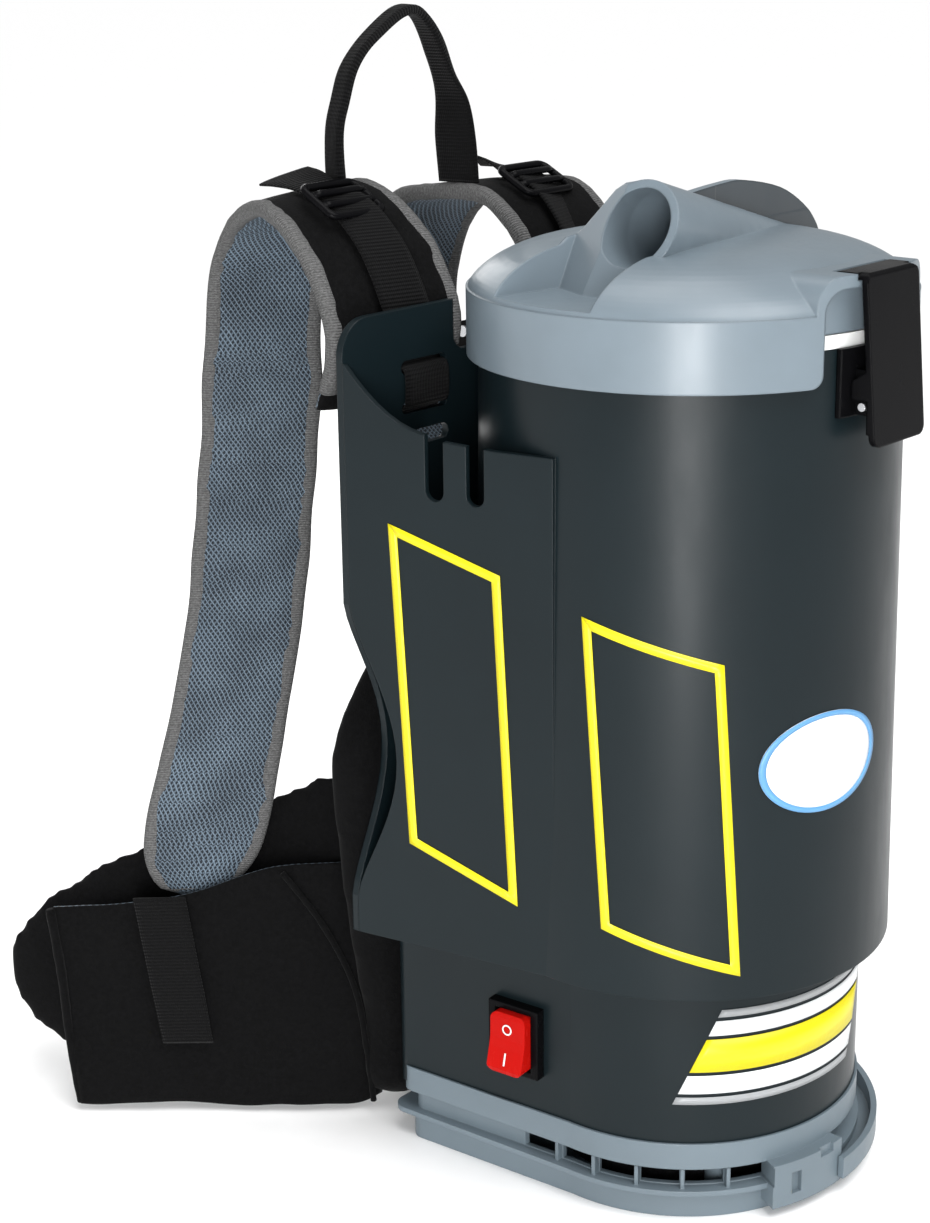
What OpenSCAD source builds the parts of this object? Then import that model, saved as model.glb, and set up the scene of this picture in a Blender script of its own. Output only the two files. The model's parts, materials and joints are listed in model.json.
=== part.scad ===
// Backpack vacuum cleaner: a canister on a motor housing, carried on a padded harness.
// Millimetres. Origin: centre of the canister's axis on the underside of the base.
// +Z is up, -Y is the side with the lid latch, +Y is the side the wearer stands on.

/* [Canister] */
// Outer radius of the canister at its rim
rim_r = 104; // [100:1:106]
// Outer radius of the canister where it meets the motor housing
foot_r = 108; // [106:1:109]
// Wall thickness of the moulded housings
wall = 3; // [2:0.5:3]
// Height of the canister floor above the ground
shell_z = 130; // [130:1:132]
// Height of the canister rim
rim_z = 446; // [444:1:446]

/* [Side wings and back plate] */
// Half width of the back plate
plate_x = 130; // [128:1:134]
// Front face of the back plate
plate_y = 112; // [112:1:114]
// Thickness of the back plate
plate_t = 4; // [3:0.5:4]
// Top of the back plate
plate_top = 450; // [446:1:452]
// Depth of the scallop in the wing and plate edges
scallop = 25; // [15:1:30]

/* [Motor housing and base] */
// Front radius of the motor housing
housing_r = 94; // [90:1:96]
// Bottom of the motor housing
housing_z = 34; // [34:1:36]

/* [Lid] */
// Outer radius of the lid skirt
lid_r = 110; // [109:1:112]
// Height of the lid's ledge
ledge_z = 463; // [460:1:466]
// Height of the dome above the ledge
dome_h = 24.5; // [22:0.5:27]
// Radius of the hose socket
port_r = 19; // [16:0.5:19]

/* [Latch and hinge] */
// Half width of the latch lever
latch_x = 22; // [18:1:22]
// Radius of the lid's hinge pin
hinge_pin_r = 3; // [2:0.25:3]

/* [Harness] */
// Thickness of the shoulder strap padding
strap_t = 10; // [7:1:11]
// Thickness of the waist pad
pad_t = 12; // [8:1:13]
// Thickness of webbing
web_t = 1.8; // [1.2:0.1:2]
// Width of the webbing at the back plate
web_w = 32; // [25:1:33]

/* [Hidden] */
$fn = 96;

// Colours
C_BODY = [0.20, 0.22, 0.23];
C_LID = [0.50, 0.57, 0.62];
C_GREY = [0.47, 0.53, 0.57];
C_BLACK = [0.07, 0.07, 0.08];
C_CLOTH = [0.10, 0.10, 0.11];
C_MESH = [0.28, 0.34, 0.40];
C_STEEL = [0.72, 0.73, 0.75];
C_WHITE = [0.90, 0.90, 0.88];
C_RED = [0.86, 0.20, 0.13];
C_COPPER = [0.72, 0.42, 0.25];

// Shared geometry
shell_h = rim_z - shell_z;
plate_rear = plate_y + plate_t;
wing_t = 3.5;
wing_x = foot_r - 1;
wing_dx = plate_x - wing_x;
wing_angle = atan(wing_dx / plate_y);
scallop_low = 150;
scallop_high = 308;
floor_hole_r = 84;
collar_z = 452.5;
collar_in_r = 88;
dome_r = lid_r - 1;
skirt_low = 430;
lid_wall_z = 453;
port = [-54.8, -7, 496.2];
horn_tilt = 12;
port_lean = 28.7;
socket_depth = 20;
elbow_depth = 48;
elbow = port + elbow_depth * [cos(horn_tilt), 0, -sin(horn_tilt)];
spigot_low = 440;
duct_r = 15;
hinge_y = 121.5;
hinge_z = 430;
pivot_y = -97.5;
pivot_z = 477.1;
pivot_pin_r = 1.5;
keeper_y = -111.6;
keeper_z = 419.5;
run_fit = 0.05;
switch_y = 31;
switch_z = 83.75;
rocker_u = 1.5;
shaft_r = 4;
bearing_r = 11;

// Helpers ------------------------------------------------------------------
module tube(r_out, r_in, z0, z1) {
    translate([0, 0, z0]) difference() {
        cylinder(r = r_out, h = z1 - z0);
        translate([0, 0, -1]) cylinder(r = r_in, h = z1 - z0 + 2);
    }
}

module box(x0, x1, y0, y1, z0, z1) {
    translate([x0, y0, z0]) cube([x1 - x0, y1 - y0, z1 - z0]);
}

module rod_x(x0, x1, y, z, r) {
    translate([x0, y, z]) rotate([0, 90, 0]) cylinder(r = r, h = x1 - x0);
}

module rod_y(x, y0, y1, z, r) {
    translate([x, y0, z]) rotate([-90, 0, 0]) cylinder(r = r, h = y1 - y0);
}

module both_sides() {
    children();
    mirror([1, 0, 0]) children();
}

// D-shaped plan: round at the front, straight flaring sides, rounded rear corners.
module d_plan(r, w, y, c) {
    circle(r = r);
    polygon([[-r, 0], [-w, y - c], [-w + c, y], [w - c, y], [w, y - c], [r, 0]]);
    for (side = [-1, 1]) translate([side * (w - c), y - c]) circle(r = c);
}

module d_solid(r, w, y, c, z0, z1) {
    translate([0, 0, z0]) linear_extrude(z1 - z0) d_plan(r, w, y, c);
}

// A point of a Catmull-Rom curve between b and c.
function curve_point(a, b, c, d, t) =
    0.5 * (2 * b + (c - a) * t + (2 * a - 5 * b + 4 * c - d) * t * t
           + (3 * b - a - 3 * c + d) * t * t * t);

// A smooth list through the points of p, with k steps from each to the next.
function smooth(p, k) = concat(
    [for (i = [0 : len(p) - 2]) for (j = [0 : k - 1])
        curve_point(p[max(i - 1, 0)], p[i], p[i + 1], p[min(i + 2, len(p) - 1)], j / k)],
    [p[len(p) - 1]]);

function unit(v) = v / norm(v);
function along(c, i) = unit(c[min(i + 1, len(c) - 1)] - c[max(i - 1, 0)]);

// Six corners of a band's cross-section: centre c, half width w, half thickness n.
function band_ring(c, w, n) =
    [c + 0.9 * w + n, c + w, c + 0.9 * w - n, c - 0.9 * w - n, c - w, c - 0.9 * w + n];

// A padded band along the centres c, with half-width vectors w and thickness t.
module band(c, w, t) {
    m = 6;
    last = len(c) - 1;
    rings = [for (i = [0 : last])
        band_ring(c[i], w[i], unit(cross(along(c, i), w[i])) * t / 2)];
    points = [for (r = rings) for (q = r) q];
    sides = [for (i = [0 : last - 1]) for (k = [0 : m - 1]) for (half = [0, 1])
        half == 0 ? [i * m + k, i * m + (k + 1) % m, (i + 1) * m + (k + 1) % m]
                  : [i * m + k, (i + 1) * m + (k + 1) % m, (i + 1) * m + k]];
    caps = [[for (k = [0 : m - 1]) last * m + k], [for (k = [0 : m - 1]) m - 1 - k]];
    polyhedron(points, concat(sides, caps));
}

// A band through hand-placed stations of [centre, half width].
module station_band(s, t, k) {
    band(smooth([for (q = s) q[0]], k), smooth([for (q = s) q[1]], k), t);
}

// Canister, wings and plate -------------------------------------------------
function scallop_depth(z) = (z < scallop_low || z > scallop_high) ? 0 :
    scallop * pow(sin(180 * (z - scallop_low) / (scallop_high - scallop_low)), 1.35);

wing_top_low = 399;
wing_top_rise = 31;
wing_top_start = 64;
function wing_top(y) = wing_top_low
    + wing_top_rise * pow((y - wing_top_start) / (plate_y - wing_top_start), 2);

slot_floor = 367;
wing_slots = [[57.5, 67.7], [35.8, 45.5]];

// Side view of a wing: x is the distance back from the canister, y is the height.
module wing_outline() {
    rear = [for (z = [scallop_low : 7.9 : scallop_high]) [plate_y - scallop_depth(z), z]];
    top = [for (y = [plate_y : -6 : wing_top_start]) [y, wing_top(y)]];
    outline = concat([[0, shell_z], [plate_y, shell_z]], rear, top,
                     [[wing_top_start, wing_top_low - 2], [30, 395], [0, 395]]);
    difference() {
        polygon([for (q = outline) [q[0] / cos(wing_angle), q[1]]]);
        for (s = wing_slots) {
            r = (s[1] - s[0]) / 2;
            mid = (s[0] + s[1]) / 2 / cos(wing_angle);
            translate([mid, slot_floor + r]) circle(r = r);
            translate([mid - r, slot_floor + r]) square([2 * r, 60]);
        }
    }
}

module wing() {
    translate([-wing_x, 0, 0]) rotate([0, 0, 90 + wing_angle])
        rotate([90, 0, 0]) linear_extrude(wing_t) wing_outline();
}

plate_screw_x = 120.5;
plate_screw_z = [145, 330];
housing_screw_xy = [93, 100];

module canister_inside() {
    translate([0, 0, shell_z + wall])
        cylinder(r1 = foot_r - wall, r2 = rim_r - wall, h = shell_h);
}

module body_shell() {
    color(C_BODY) difference() {
        union() {
            translate([0, 0, shell_z]) cylinder(r1 = foot_r, r2 = rim_r, h = shell_h);
            translate([0, 0, shell_z]) linear_extrude(wall)
                polygon([[-wing_x, 0], [-plate_x, plate_y], [plate_x, plate_y], [wing_x, 0]]);
            both_sides() wing();
            for (x = [-plate_screw_x, plate_screw_x], z = plate_screw_z)
                rod_y(x, 96, plate_y, z, 5);
        }
        canister_inside();
        box(-plate_x - 9, plate_x + 9, plate_y, plate_y + 9, shell_z - 1, rim_z + 1);
        translate([0, 0, shell_z - 1]) cylinder(r = floor_hole_r, h = wall + 2);
        for (x = [-plate_screw_x, plate_screw_x], z = plate_screw_z)
            rod_y(x, 98, plate_y + 1, z, 2);
        both_sides() translate([housing_screw_xy[0], housing_screw_xy[1], shell_z - 1])
            cylinder(r = 2.2, h = wall + 2);
    }
}

notch_x = 49;
notch_z = 424;
corner_r = 18;
anchor_x0 = 54.8;
anchor_x1 = anchor_x0 + web_w + 1.4;
anchor_slots = [[397, 403], [417, 424]];

module plate_outline() {
    edge = [for (z = [scallop_low : 7.9 : scallop_high]) [plate_x - scallop_depth(z), z]];
    corner = [for (a = [0 : 10 : 90])
        [plate_x - corner_r + corner_r * cos(a), plate_top - corner_r + corner_r * sin(a)]];
    notch = [for (a = [0 : 15 : 90])
        [notch_x - 8 + 8 * cos(a), notch_z + 8 - 8 * sin(a)]];
    half = concat([[plate_x, shell_z]], edge, corner, [[notch_x, plate_top]], notch);
    polygon(concat(half, [for (i = [len(half) - 1 : -1 : 0]) [-half[i][0], half[i][1]]]));
}

module plate_slot(x0, x1, z0, z1) {
    r = (z1 - z0) / 2;
    rod_y(x0 + r, plate_y - 1, plate_rear + 1, z0 + r, r);
    rod_y(x1 - r, plate_y - 1, plate_rear + 1, z0 + r, r);
    box(x0 + r, x1 - r, plate_y - 1, plate_rear + 1, z0, z1);
}

hinge_screw_xz = [[-20, 408], [20, 408]];

module back_plate() {
    color(C_BODY) difference() {
        translate([0, plate_rear, 0]) rotate([90, 0, 0]) linear_extrude(plate_t)
            plate_outline();
        both_sides() {
            for (s = anchor_slots) plate_slot(anchor_x0, anchor_x1, s[0], s[1]);
            plate_slot(54, 80, 380, 388);
        }
        for (x = [-plate_screw_x, plate_screw_x], z = plate_screw_z)
            rod_y(x, plate_y - 1, plate_rear + 1, z, 2.2);
        for (q = hinge_screw_xz) rod_y(q[0], plate_y - 1, plate_rear + 1, q[1], 2);
    }
}

// Motor housing and base ----------------------------------------------------
housing_w = 104;
housing_y = 112;
housing_c = 8;
side_angle = atan((housing_w - housing_r) / (housing_y - housing_c));
base_screw_xy = [[-80, 82], [80, 82], [-46, -58], [46, -58]];
gland_y = 62;
gland_z = 78;

// The left side wall's own frame: -X is outwards, Y runs back along the wall.
module on_side_wall() {
    translate([-housing_r, 0, 0]) rotate([0, 0, side_angle]) children();
}

module switch_block(half_y, half_z, u0, u1) {
    on_side_wall() box(-u1, -u0, switch_y - half_y, switch_y + half_y,
                       switch_z - half_z, switch_z + half_z);
}

module motor_housing() {
    color(C_BODY) difference() {
        union() {
            difference() {
                d_solid(housing_r, housing_w, housing_y, housing_c, housing_z, shell_z);
                d_solid(housing_r - wall, housing_w - wall, housing_y - wall,
                        housing_c - wall, housing_z - 1, shell_z + 1);
            }
            both_sides() {
                translate([housing_screw_xy[0], housing_screw_xy[1], 106])
                    cylinder(r = 6.5, h = shell_z - 106);
                box(housing_screw_xy[0], 101.5, 97, 103, 106, shell_z);
                box(80, 100, 79, 85, housing_z, housing_z + 6);
            }
            for (q = base_screw_xy) translate([q[0], q[1], housing_z])
                cylinder(r = 5.5, h = 18);
            for (q = [base_screw_xy[2], base_screw_xy[3]]) translate([0, 0, housing_z])
                linear_extrude(6) polygon([q + [-2.5, 0], q + [2.5, 0],
                                           1.24 * q + [2.5, 0], 1.24 * q + [-2.5, 0]]);
        }
        both_sides() translate([housing_screw_xy[0], housing_screw_xy[1], 108])
            cylinder(r = 2, h = shell_z - 100);
        for (q = base_screw_xy) translate([q[0], q[1], housing_z - 1])
            cylinder(r = 2, h = 16);
        switch_block(12.6, 17.9, -12, 1);
        mirror([1, 0, 0]) on_side_wall() rod_x(-5, 10, gland_y, gland_z, 7);
    }
}

rib_start = 160.3;
rib_step = 14.3;
vent_count = 6;
flange_end = 20;
block_start = -116;
block_end = -89;

module base_vents() {
    for (i = [0 : vent_count - 1]) rotate([0, 0, rib_start + rib_step * (i + 0.5)])
        box(70, 110, -9.8, 9.8, 18.5, 29.5);
}

module base_ribs() {
    for (i = [0 : vent_count]) rotate([0, 0, rib_start + rib_step * i])
        box(88.5, 94.5, -1, 1, 16, 29);
}

// Part of a ring between two angles less than 180 degrees apart.
module arc_wall(r_out, r_in, z0, z1, a0, a1) {
    reach = 2 * foot_r;
    intersection() {
        tube(r_out, r_in, z0, z1);
        translate([0, 0, z0]) linear_extrude(z1 - z0)
            polygon(concat([[0, 0]], [for (a = [a0, (a0 + a1) / 2, a1])
                [reach * cos(a), reach * sin(a)]]));
    }
}

module snap_block() {
    difference() {
        arc_wall(103, 88.4, 6, 30.4, block_start, block_end);
        rotate([0, 0, block_start + 8]) box(100, 110, -3, 3, 12, 24);
        rotate([0, 0, block_end - 7]) box(101, 110, -5, 5, 26, 32);
    }
}

module base_ring() {
    color(C_GREY) difference() {
        union() {
            difference() {
                d_solid(95.5, 105, 109, 8, 29.8, 44);
                d_solid(housing_r + 0.1, housing_w + 0.1, housing_y + 0.1, housing_c + 0.1,
                        housing_z, 45);
            }
            difference() {
                union() {
                    d_solid(91, 100.5, 107, 8, 0, 15);
                    d_solid(97, 105.5, 115, 8, 15, 18);
                    d_solid(90, 100, 105, 8, 17, 31);
                    base_ribs();
                    arc_wall(106.8, 103.5, 9, 21, block_end - 2, flange_end);
                    arc_wall(106, 88.7, 9, 12, block_end - 1, flange_end - 0.5);
                    snap_block();
                }
                d_solid(87, 97, 102, 6, wall, 40);
                base_vents();
            }
            for (q = base_screw_xy) translate([q[0], q[1], 0]) cylinder(r = 6, h = 32);
            d_solid(89.5, 99.5, 104.5, 7.5, 30.2, housing_z);
        }
        for (q = base_screw_xy) translate([q[0], q[1], 0]) {
            translate([0, 0, -1]) cylinder(r = 4.3, h = 9);
            cylinder(r = 2.2, h = 40);
        }
        translate([0, 0, 29]) cylinder(r = 26, h = 6);
        for (a = [15 : 30 : 345]) rotate([0, 0, a]) translate([62, 0, 29])
            cylinder(r = 8, h = 6);
    }
}

module exhaust_filter() {
    color(C_WHITE) tube(66, 48, wall, 29.5);
}

module cord_grommet() {
    difference() {
        union() {
            rod_x(-12, 4, gland_y, gland_z, 6.9);
            rod_x(-3, 0, gland_y, gland_z, 9.5);
        }
        rod_x(-13, 5, gland_y, gland_z, 4.2);
    }
}

module cord_gland() {
    color(C_BLACK) mirror([1, 0, 0]) on_side_wall() cord_grommet();
}

// Motor and fan -------------------------------------------------------------
grille_z = shell_z + wall;
fan_r = 71.5;
fan_low = 92;
fan_high = 124;
can_r = 45;
can_low = 40;

module intake_grille() {
    color(C_BODY) difference() {
        translate([0, 0, grille_z]) cylinder(r = 101, h = 4);
        translate([0, 0, grille_z - 1]) {
            cylinder(r = 5, h = 6);
            for (ring = [1 : 4]) for (i = [0 : 6 * ring - 1])
                rotate([0, 0, 60 * i / ring]) translate([13.5 * ring, 0, 0])
                    cylinder(r = 4.5, h = 6);
        }
    }
}

module fan_housing() {
    color(C_STEEL) difference() {
        union() {
            tube(fan_r, fan_r - 2, fan_low, fan_high);
            tube(fan_r, 12, fan_low, fan_low + 2);
            tube(fan_r, 20, fan_high - 2, fan_high);
        }
        for (a = [0 : 30 : 330]) rotate([0, 0, a]) translate([55, 0, fan_low - 1])
            cylinder(r = 6, h = 4);
    }
}

module motor_gasket() {
    color(C_BLACK) tube(fan_r, 62, fan_high, grille_z);
}

module motor_mount() {
    color(C_BLACK) tube(can_r + 2, 30, housing_z, can_low);
}

module motor_can() {
    color(C_STEEL) difference() {
        union() {
            tube(can_r, can_r - 2, can_low, fan_low);
            tube(can_r, bearing_r, can_low, can_low + 3);
            tube(can_r, bearing_r, fan_low - 3, fan_low);
            tube(bearing_r + 2, bearing_r, can_low, can_low + 10);
            tube(bearing_r + 2, bearing_r, fan_low - 8, fan_low);
        }
        for (a = [0 : 45 : 315]) rotate([0, 0, a]) {
            translate([30, 0, can_low - 1]) cylinder(r = 6, h = 5);
            translate([30, 0, fan_low - 4]) cylinder(r = 6, h = 5);
        }
    }
}

module stator() {
    color(C_COPPER) tube(can_r - 2, 26, 52, 82);
}

module motor_bearings() {
    color(C_STEEL) {
        tube(bearing_r, shaft_r + run_fit, can_low + 4, can_low + 10);
        tube(bearing_r, shaft_r + run_fit, fan_low - 6, fan_low);
    }
}

module motor_shaft() {
    color(C_STEEL) translate([0, 0, can_low + 4]) cylinder(r = shaft_r, h = 76);
}

module armature() {
    color(C_COPPER) tube(24.5, shaft_r, 54, 80);
}

module impeller() {
    color(C_STEEL) {
        tube(62, shaft_r, 97, 99);
        tube(10, shaft_r, 99, 114);
        tube(62, 19, 116, 118);
        for (a = [0 : 40 : 320]) rotate([0, 0, a]) box(22, 60, -1, 1, 99, 116);
    }
}

// Filter --------------------------------------------------------------------
cage_r = 92;
bag_low = 190;

module filter_cage() {
    color(C_BLACK) difference() {
        tube(cage_r, cage_r - 1.6, bag_low - 4, rim_z);
        for (row = [0 : 3]) for (a = [0 : 30 : 330]) rotate([0, 0, a])
            box(80, 100, -18, 18, bag_low + 8 + 60 * row, bag_low + 60 + 60 * row);
    }
}

module cloth_filter() {
    color(C_WHITE) {
        tube(cage_r - 2, cage_r - 4, bag_low, rim_z);
        translate([0, 0, bag_low]) cylinder(r = cage_r - 2, h = 2);
    }
}

module filter_collar() {
    color(C_WHITE) tube(rim_r, collar_in_r, rim_z, collar_z);
}

// Lid -----------------------------------------------------------------------
function dome_z(r) = ledge_z + dome_h * pow(1 - pow(r / dome_r, 4), 0.75);

dome_steps = 24;
function dome_curve(r_end, drop) = [for (i = [0 : dome_steps])
    let (r = r_end * sin(90 * (1 - i / dome_steps))) [r, dome_z(r) - drop]];

module dome_outer() {
    rotate_extrude() polygon(concat([[0, ledge_z - 4], [dome_r, ledge_z - 4]],
                                    dome_curve(dome_r, 0)));
}

module dome_inner() {
    rotate_extrude() polygon(concat([[0, skirt_low - 20], [95, skirt_low - 20]],
                                    dome_curve(95, wall)));
}

module lid_revolve() {
    difference() {
        union() {
            dome_outer();
            tube(lid_r, lid_r - wall, skirt_low, ledge_z);
            tube(104, 95, lid_wall_z, ledge_z);
        }
        dome_inner();
        tube(102, 98, lid_wall_z - 1, lid_wall_z + 4);
    }
}

canopy_top = 480;
window_top = 474;
window_x = 40;
window_c = 11;

// Arched outline in X and Z, used for the front window and the canopy above it.
module arch_prism(half, low, high, c, y0, y1) {
    translate([0, y1, 0]) rotate([90, 0, 0]) linear_extrude(y1 - y0) {
        translate([-half, low]) square([2 * half, high - low - c]);
        translate([-half + c, low]) square([2 * (half - c), high - low]);
        for (side = [-1, 1]) translate([side * (half - c), high - c]) circle(r = c);
    }
}

module canopy() {
    intersection() {
        arch_prism(window_x + 4, ledge_z - 2, canopy_top, window_c + 2, -lid_r, -60);
        translate([0, 0, ledge_z - 2]) cylinder(r = lid_r, h = 30);
    }
}

pocket_floor = 465;
pocket_front = -20.5;
pocket_turn = [-71.9, 11, pocket_floor];
pocket_yaw = 26;
pocket_end = [-61.1, 33, pocket_floor];

// Half-space in front of the leaning plane through a point, pushed back by g.
module leaning_side(at, yaw, g) {
    translate(at) rotate([0, port_lean, -yaw]) box(-120, g, -100, 100, -90, 100);
}

module mouth_side(g) {
    leaning_side(port, 0, g);
    leaning_side(pocket_turn, pocket_yaw, g);
}

// The hollow beside the horn's mouth; g makes it larger on every side.
module pocket_space(g) {
    intersection() {
        mouth_side(g);
        translate(pocket_end) rotate([-11.3, 0, -12]) box(-100, 100, -100, g, -100, 100);
        box(-dome_r - 5, 0, pocket_front - g, 70, pocket_floor - g, 540);
    }
}

horn_r0 = 23.5;
horn_r1 = 11.3;
horn_len = 162;
horn_lead = 14;

// Frame of the horn: +Z runs along its axis from the mouth.
module horn_frame() {
    translate(port) rotate([0, 90 + horn_tilt, 0]) children();
}

// The raised horn that carries the hose socket and runs out across the dome.
module horn() {
    difference() {
        intersection() {
            horn_frame() translate([0, 0, -horn_lead])
                cylinder(r1 = horn_r0 + (horn_r0 - horn_r1) * horn_lead / horn_len,
                         r2 = horn_r1, h = horn_len + horn_lead);
            translate([0, 0, ledge_z - 4]) cylinder(r = dome_r, h = 80);
        }
        leaning_side(port, 0, 0);
    }
}

// Web that runs from the horn's mouth down to the dome, along the pocket's back wall.
flare_outline = [[-5, 480], [-5, 490], [-2, 508], [3, 514.2], [7, 514.8], [14, 511],
                 [20, 504], [26, 497.3], [31, 491.8], [36, 488], [37, 480]];

module flare() {
    intersection() {
        side_prism(-90, -20, flare_outline);
        mouth_side(6);
    }
}

fin_front = -5;
fin_back = 0;
fin_outline = smooth([[-8, 507.3], [16, 509.1], [36, 509.1], [68, 502.6], [90, 491.9],
                      [101, 482.2], [106, 474.3]], 4);

// Upright blade behind the horn.
module fin() {
    translate([0, fin_back, 0]) rotate([90, 0, 0]) linear_extrude(fin_back - fin_front)
        polygon(concat([[106, ledge_z - 3], [-8, ledge_z - 3]], fin_outline));
}

module socket_bores() {
    horn_frame() {
        translate([0, 0, -horn_lead]) cylinder(r = port_r, h = socket_depth + horn_lead);
        translate([0, 0, socket_depth])
            cylinder(r1 = port_r, r2 = duct_r, h = elbow_depth - socket_depth);
    }
    translate(elbow) sphere(r = duct_r + 0.7);
    translate([elbow[0], elbow[1], 400]) cylinder(r = duct_r, h = elbow[2] - 400);
}

module socket_walls() {
    difference() {
        horn_frame() {
            translate([0, 0, -horn_lead])
                cylinder(r = port_r + 2, h = socket_depth + horn_lead);
            translate([0, 0, socket_depth])
                cylinder(r1 = port_r + 2, r2 = duct_r + wall, h = elbow_depth - socket_depth);
        }
        leaning_side(port, 0, 0);
    }
    translate(elbow) sphere(r = duct_r + wall + 0.7);
    translate([elbow[0], elbow[1], spigot_low])
        cylinder(r = duct_r + wall, h = elbow[2] - spigot_low);
}

skirt_corner = 6;

// Front window, with the skirt's lower corners rounded beside it.
module window_space() {
    difference() {
        union() {
            arch_prism(window_x, skirt_low - 1, window_top, window_c, -lid_r - 1, -70);
            both_sides() translate([window_x, -70, skirt_low]) rotate([90, 0, 0])
                linear_extrude(45) difference() {
                    translate([-1, -1]) square(skirt_corner + 1);
                    translate([skirt_corner, skirt_corner]) circle(r = skirt_corner);
                }
        }
        cylinder(r = rim_r, h = 600);
    }
}

module lid() {
    color(C_LID) difference() {
        union() {
            lid_revolve();
            canopy();
            intersection() {
                dome_outer();
                pocket_space(wall);
            }
            difference() {
                union() {
                    horn();
                    flare();
                    fin();
                }
                dome_inner();
            }
            socket_walls();
            box(-23.5, 23.5, lid_r - 4, hinge_y - 2, hinge_z, hinge_z + 6);
            rod_x(-23.5, 23.5, hinge_y, hinge_z, 6);
        }
        pocket_space(0);
        box(12, 96, fin_front - 3, fin_front + 0.2, 489, 530);
        socket_bores();
        window_space();
        box(-latch_x - 0.4, latch_x + 0.4, -lid_r - 5, pivot_y, canopy_top - 3, 500);
        box(-latch_x - 0.4, latch_x + 0.4, -lid_r - 5, -108.8, skirt_low, 500);
        box(-latch_x - 0.4, latch_x + 0.4, pivot_y - 3.7, pivot_y + 3.7, pivot_z - 3.7, 500);
        rod_x(-26, 26, pivot_y, pivot_z, pivot_pin_r);
        rod_x(-30, 30, hinge_y, hinge_z, hinge_pin_r + run_fit);
    }
}

module lid_seal() {
    color(C_BLACK) tube(101.9, 98.1, collar_z + 0.3, lid_wall_z + 3.9);
}

module inlet_seal() {
    color(C_BLACK) translate([elbow[0], elbow[1], 0])
        tube(duct_r + wall + 3, duct_r + wall, spigot_low + 2, spigot_low + 7);
}

// Latch ---------------------------------------------------------------------
lever_t = 3;
lever_top = [-112.5, canopy_top];
lever_foot = [-119.5, 401];
ear_x = 19;

// Side outlines are drawn in Y and Z and pushed out along X.
module side_prism(x0, x1, outline) {
    translate([x0, 0, 0]) rotate([90, 0, 90]) linear_extrude(x1 - x0) polygon(outline);
}

// Upright plate with rounded corners, seen along Y.
module rounded_upright(half, z0, z1, r, y0, y1) {
    translate([0, y1, 0]) rotate([90, 0, 0]) linear_extrude(y1 - y0) {
        translate([-half, z0 + r]) square([2 * half, z1 - z0 - 2 * r]);
        translate([-half + r, z0]) square([2 * (half - r), z1 - z0]);
        for (x = [-half + r, half - r], z = [z0 + r, z1 - r]) translate([x, z]) circle(r = r);
    }
}

module latch_lever() {
    color(C_BLACK) difference() {
        union() {
            intersection() {
                side_prism(-latch_x, latch_x,
                           [lever_foot, lever_foot + [lever_t, 0], lever_top + [lever_t, -2.7],
                            [pivot_y, canopy_top - 2.7], [pivot_y, canopy_top + 0.3],
                            lever_top + [1.5, 0.3], lever_top + [0, -1.2]]);
                union() {
                    rounded_upright(latch_x, lever_foot[1], canopy_top + 0.3, 5, -130, -106);
                    box(-latch_x, latch_x, -107, pivot_y, 400, canopy_top + 1);
                }
            }
            rod_x(-latch_x, latch_x, pivot_y, pivot_z, 3.2);
            both_sides() side_prism(ear_x, latch_x,
                [[-118, 407], [-114.6, 407], [-114.4, 422.6], [-106, 422.6], [-106, 431],
                 [-113.5, 436]]);
        }
        rod_x(-30, 30, pivot_y, pivot_z, pivot_pin_r + run_fit);
    }
}

module latch_pin() {
    color(C_STEEL) rod_x(-26, 26, pivot_y, pivot_z, pivot_pin_r);
}

module latch_bracket() {
    color(C_BLACK) difference() {
        union() {
            intersection() {
                tube(107, 104.45, 414, 446);
                box(-27, 27, -120, -90, 400, 450);
            }
            box(-18.4, 18.4, -113.8, -106, 415, 436);
        }
        side_prism(-20, 20, [[-115, 424], [-113, 424], [-110.5, 440], [-116, 440]]);
        rod_x(-30, 30, keeper_y, keeper_z, 2);
        cylinder(r = 104.45, h = 500);
    }
}

module latch_keeper_pin() {
    color(C_STEEL) rod_x(-latch_x, latch_x, keeper_y, keeper_z, 2);
}

// Lid hinge -----------------------------------------------------------------
module hinge_bracket() {
    color(C_BLACK) difference() {
        union() {
            box(-30, 30, plate_rear, plate_rear + 3, 400, 423.5);
            both_sides() {
                rod_x(24, 30, hinge_y, hinge_z, 5.4);
                box(24, 30, plate_rear + 0.2, hinge_y + 5.4, 404, hinge_z);
            }
        }
        rod_x(-31, 31, hinge_y, hinge_z, hinge_pin_r);
        for (q = hinge_screw_xz) rod_y(q[0], plate_rear - 1, plate_rear + 4, q[1], 2);
    }
}

module hinge_pin() {
    color(C_STEEL) rod_x(-31.5, 31.5, hinge_y, hinge_z, hinge_pin_r);
}

// Switch --------------------------------------------------------------------
module switch_bezel() {
    color(C_BLACK) difference() {
        union() {
            switch_block(15, 19.25, 0, 6);
            switch_block(12.4, 17.7, -6.5, 0.5);
        }
        switch_block(10.9, 16.2, -7, 7);
        on_side_wall() rod_y(-rocker_u, switch_y - 12.4, switch_y + 12.4, switch_z,
                             pivot_pin_r + run_fit);
    }
}

module switch_body() {
    color(C_BLACK) switch_block(12.2, 17.5, -26, -6.5);
}

rocker_w = 10.6;
rocker_h = 15.9;
rocker_c = 4;

// Side outline of the rocker: x is inwards, y is up.
rocker_side = [[-9.8, rocker_h], [-10.9, 13.5], [-11.2, 2], [-12.2, -3], [-15, -13.5],
               [-14.3, -rocker_h], [-11.2, -rocker_h], [-10.2, -14.2], [0.8, -14.2],
               [0.5, rocker_h]];

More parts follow.
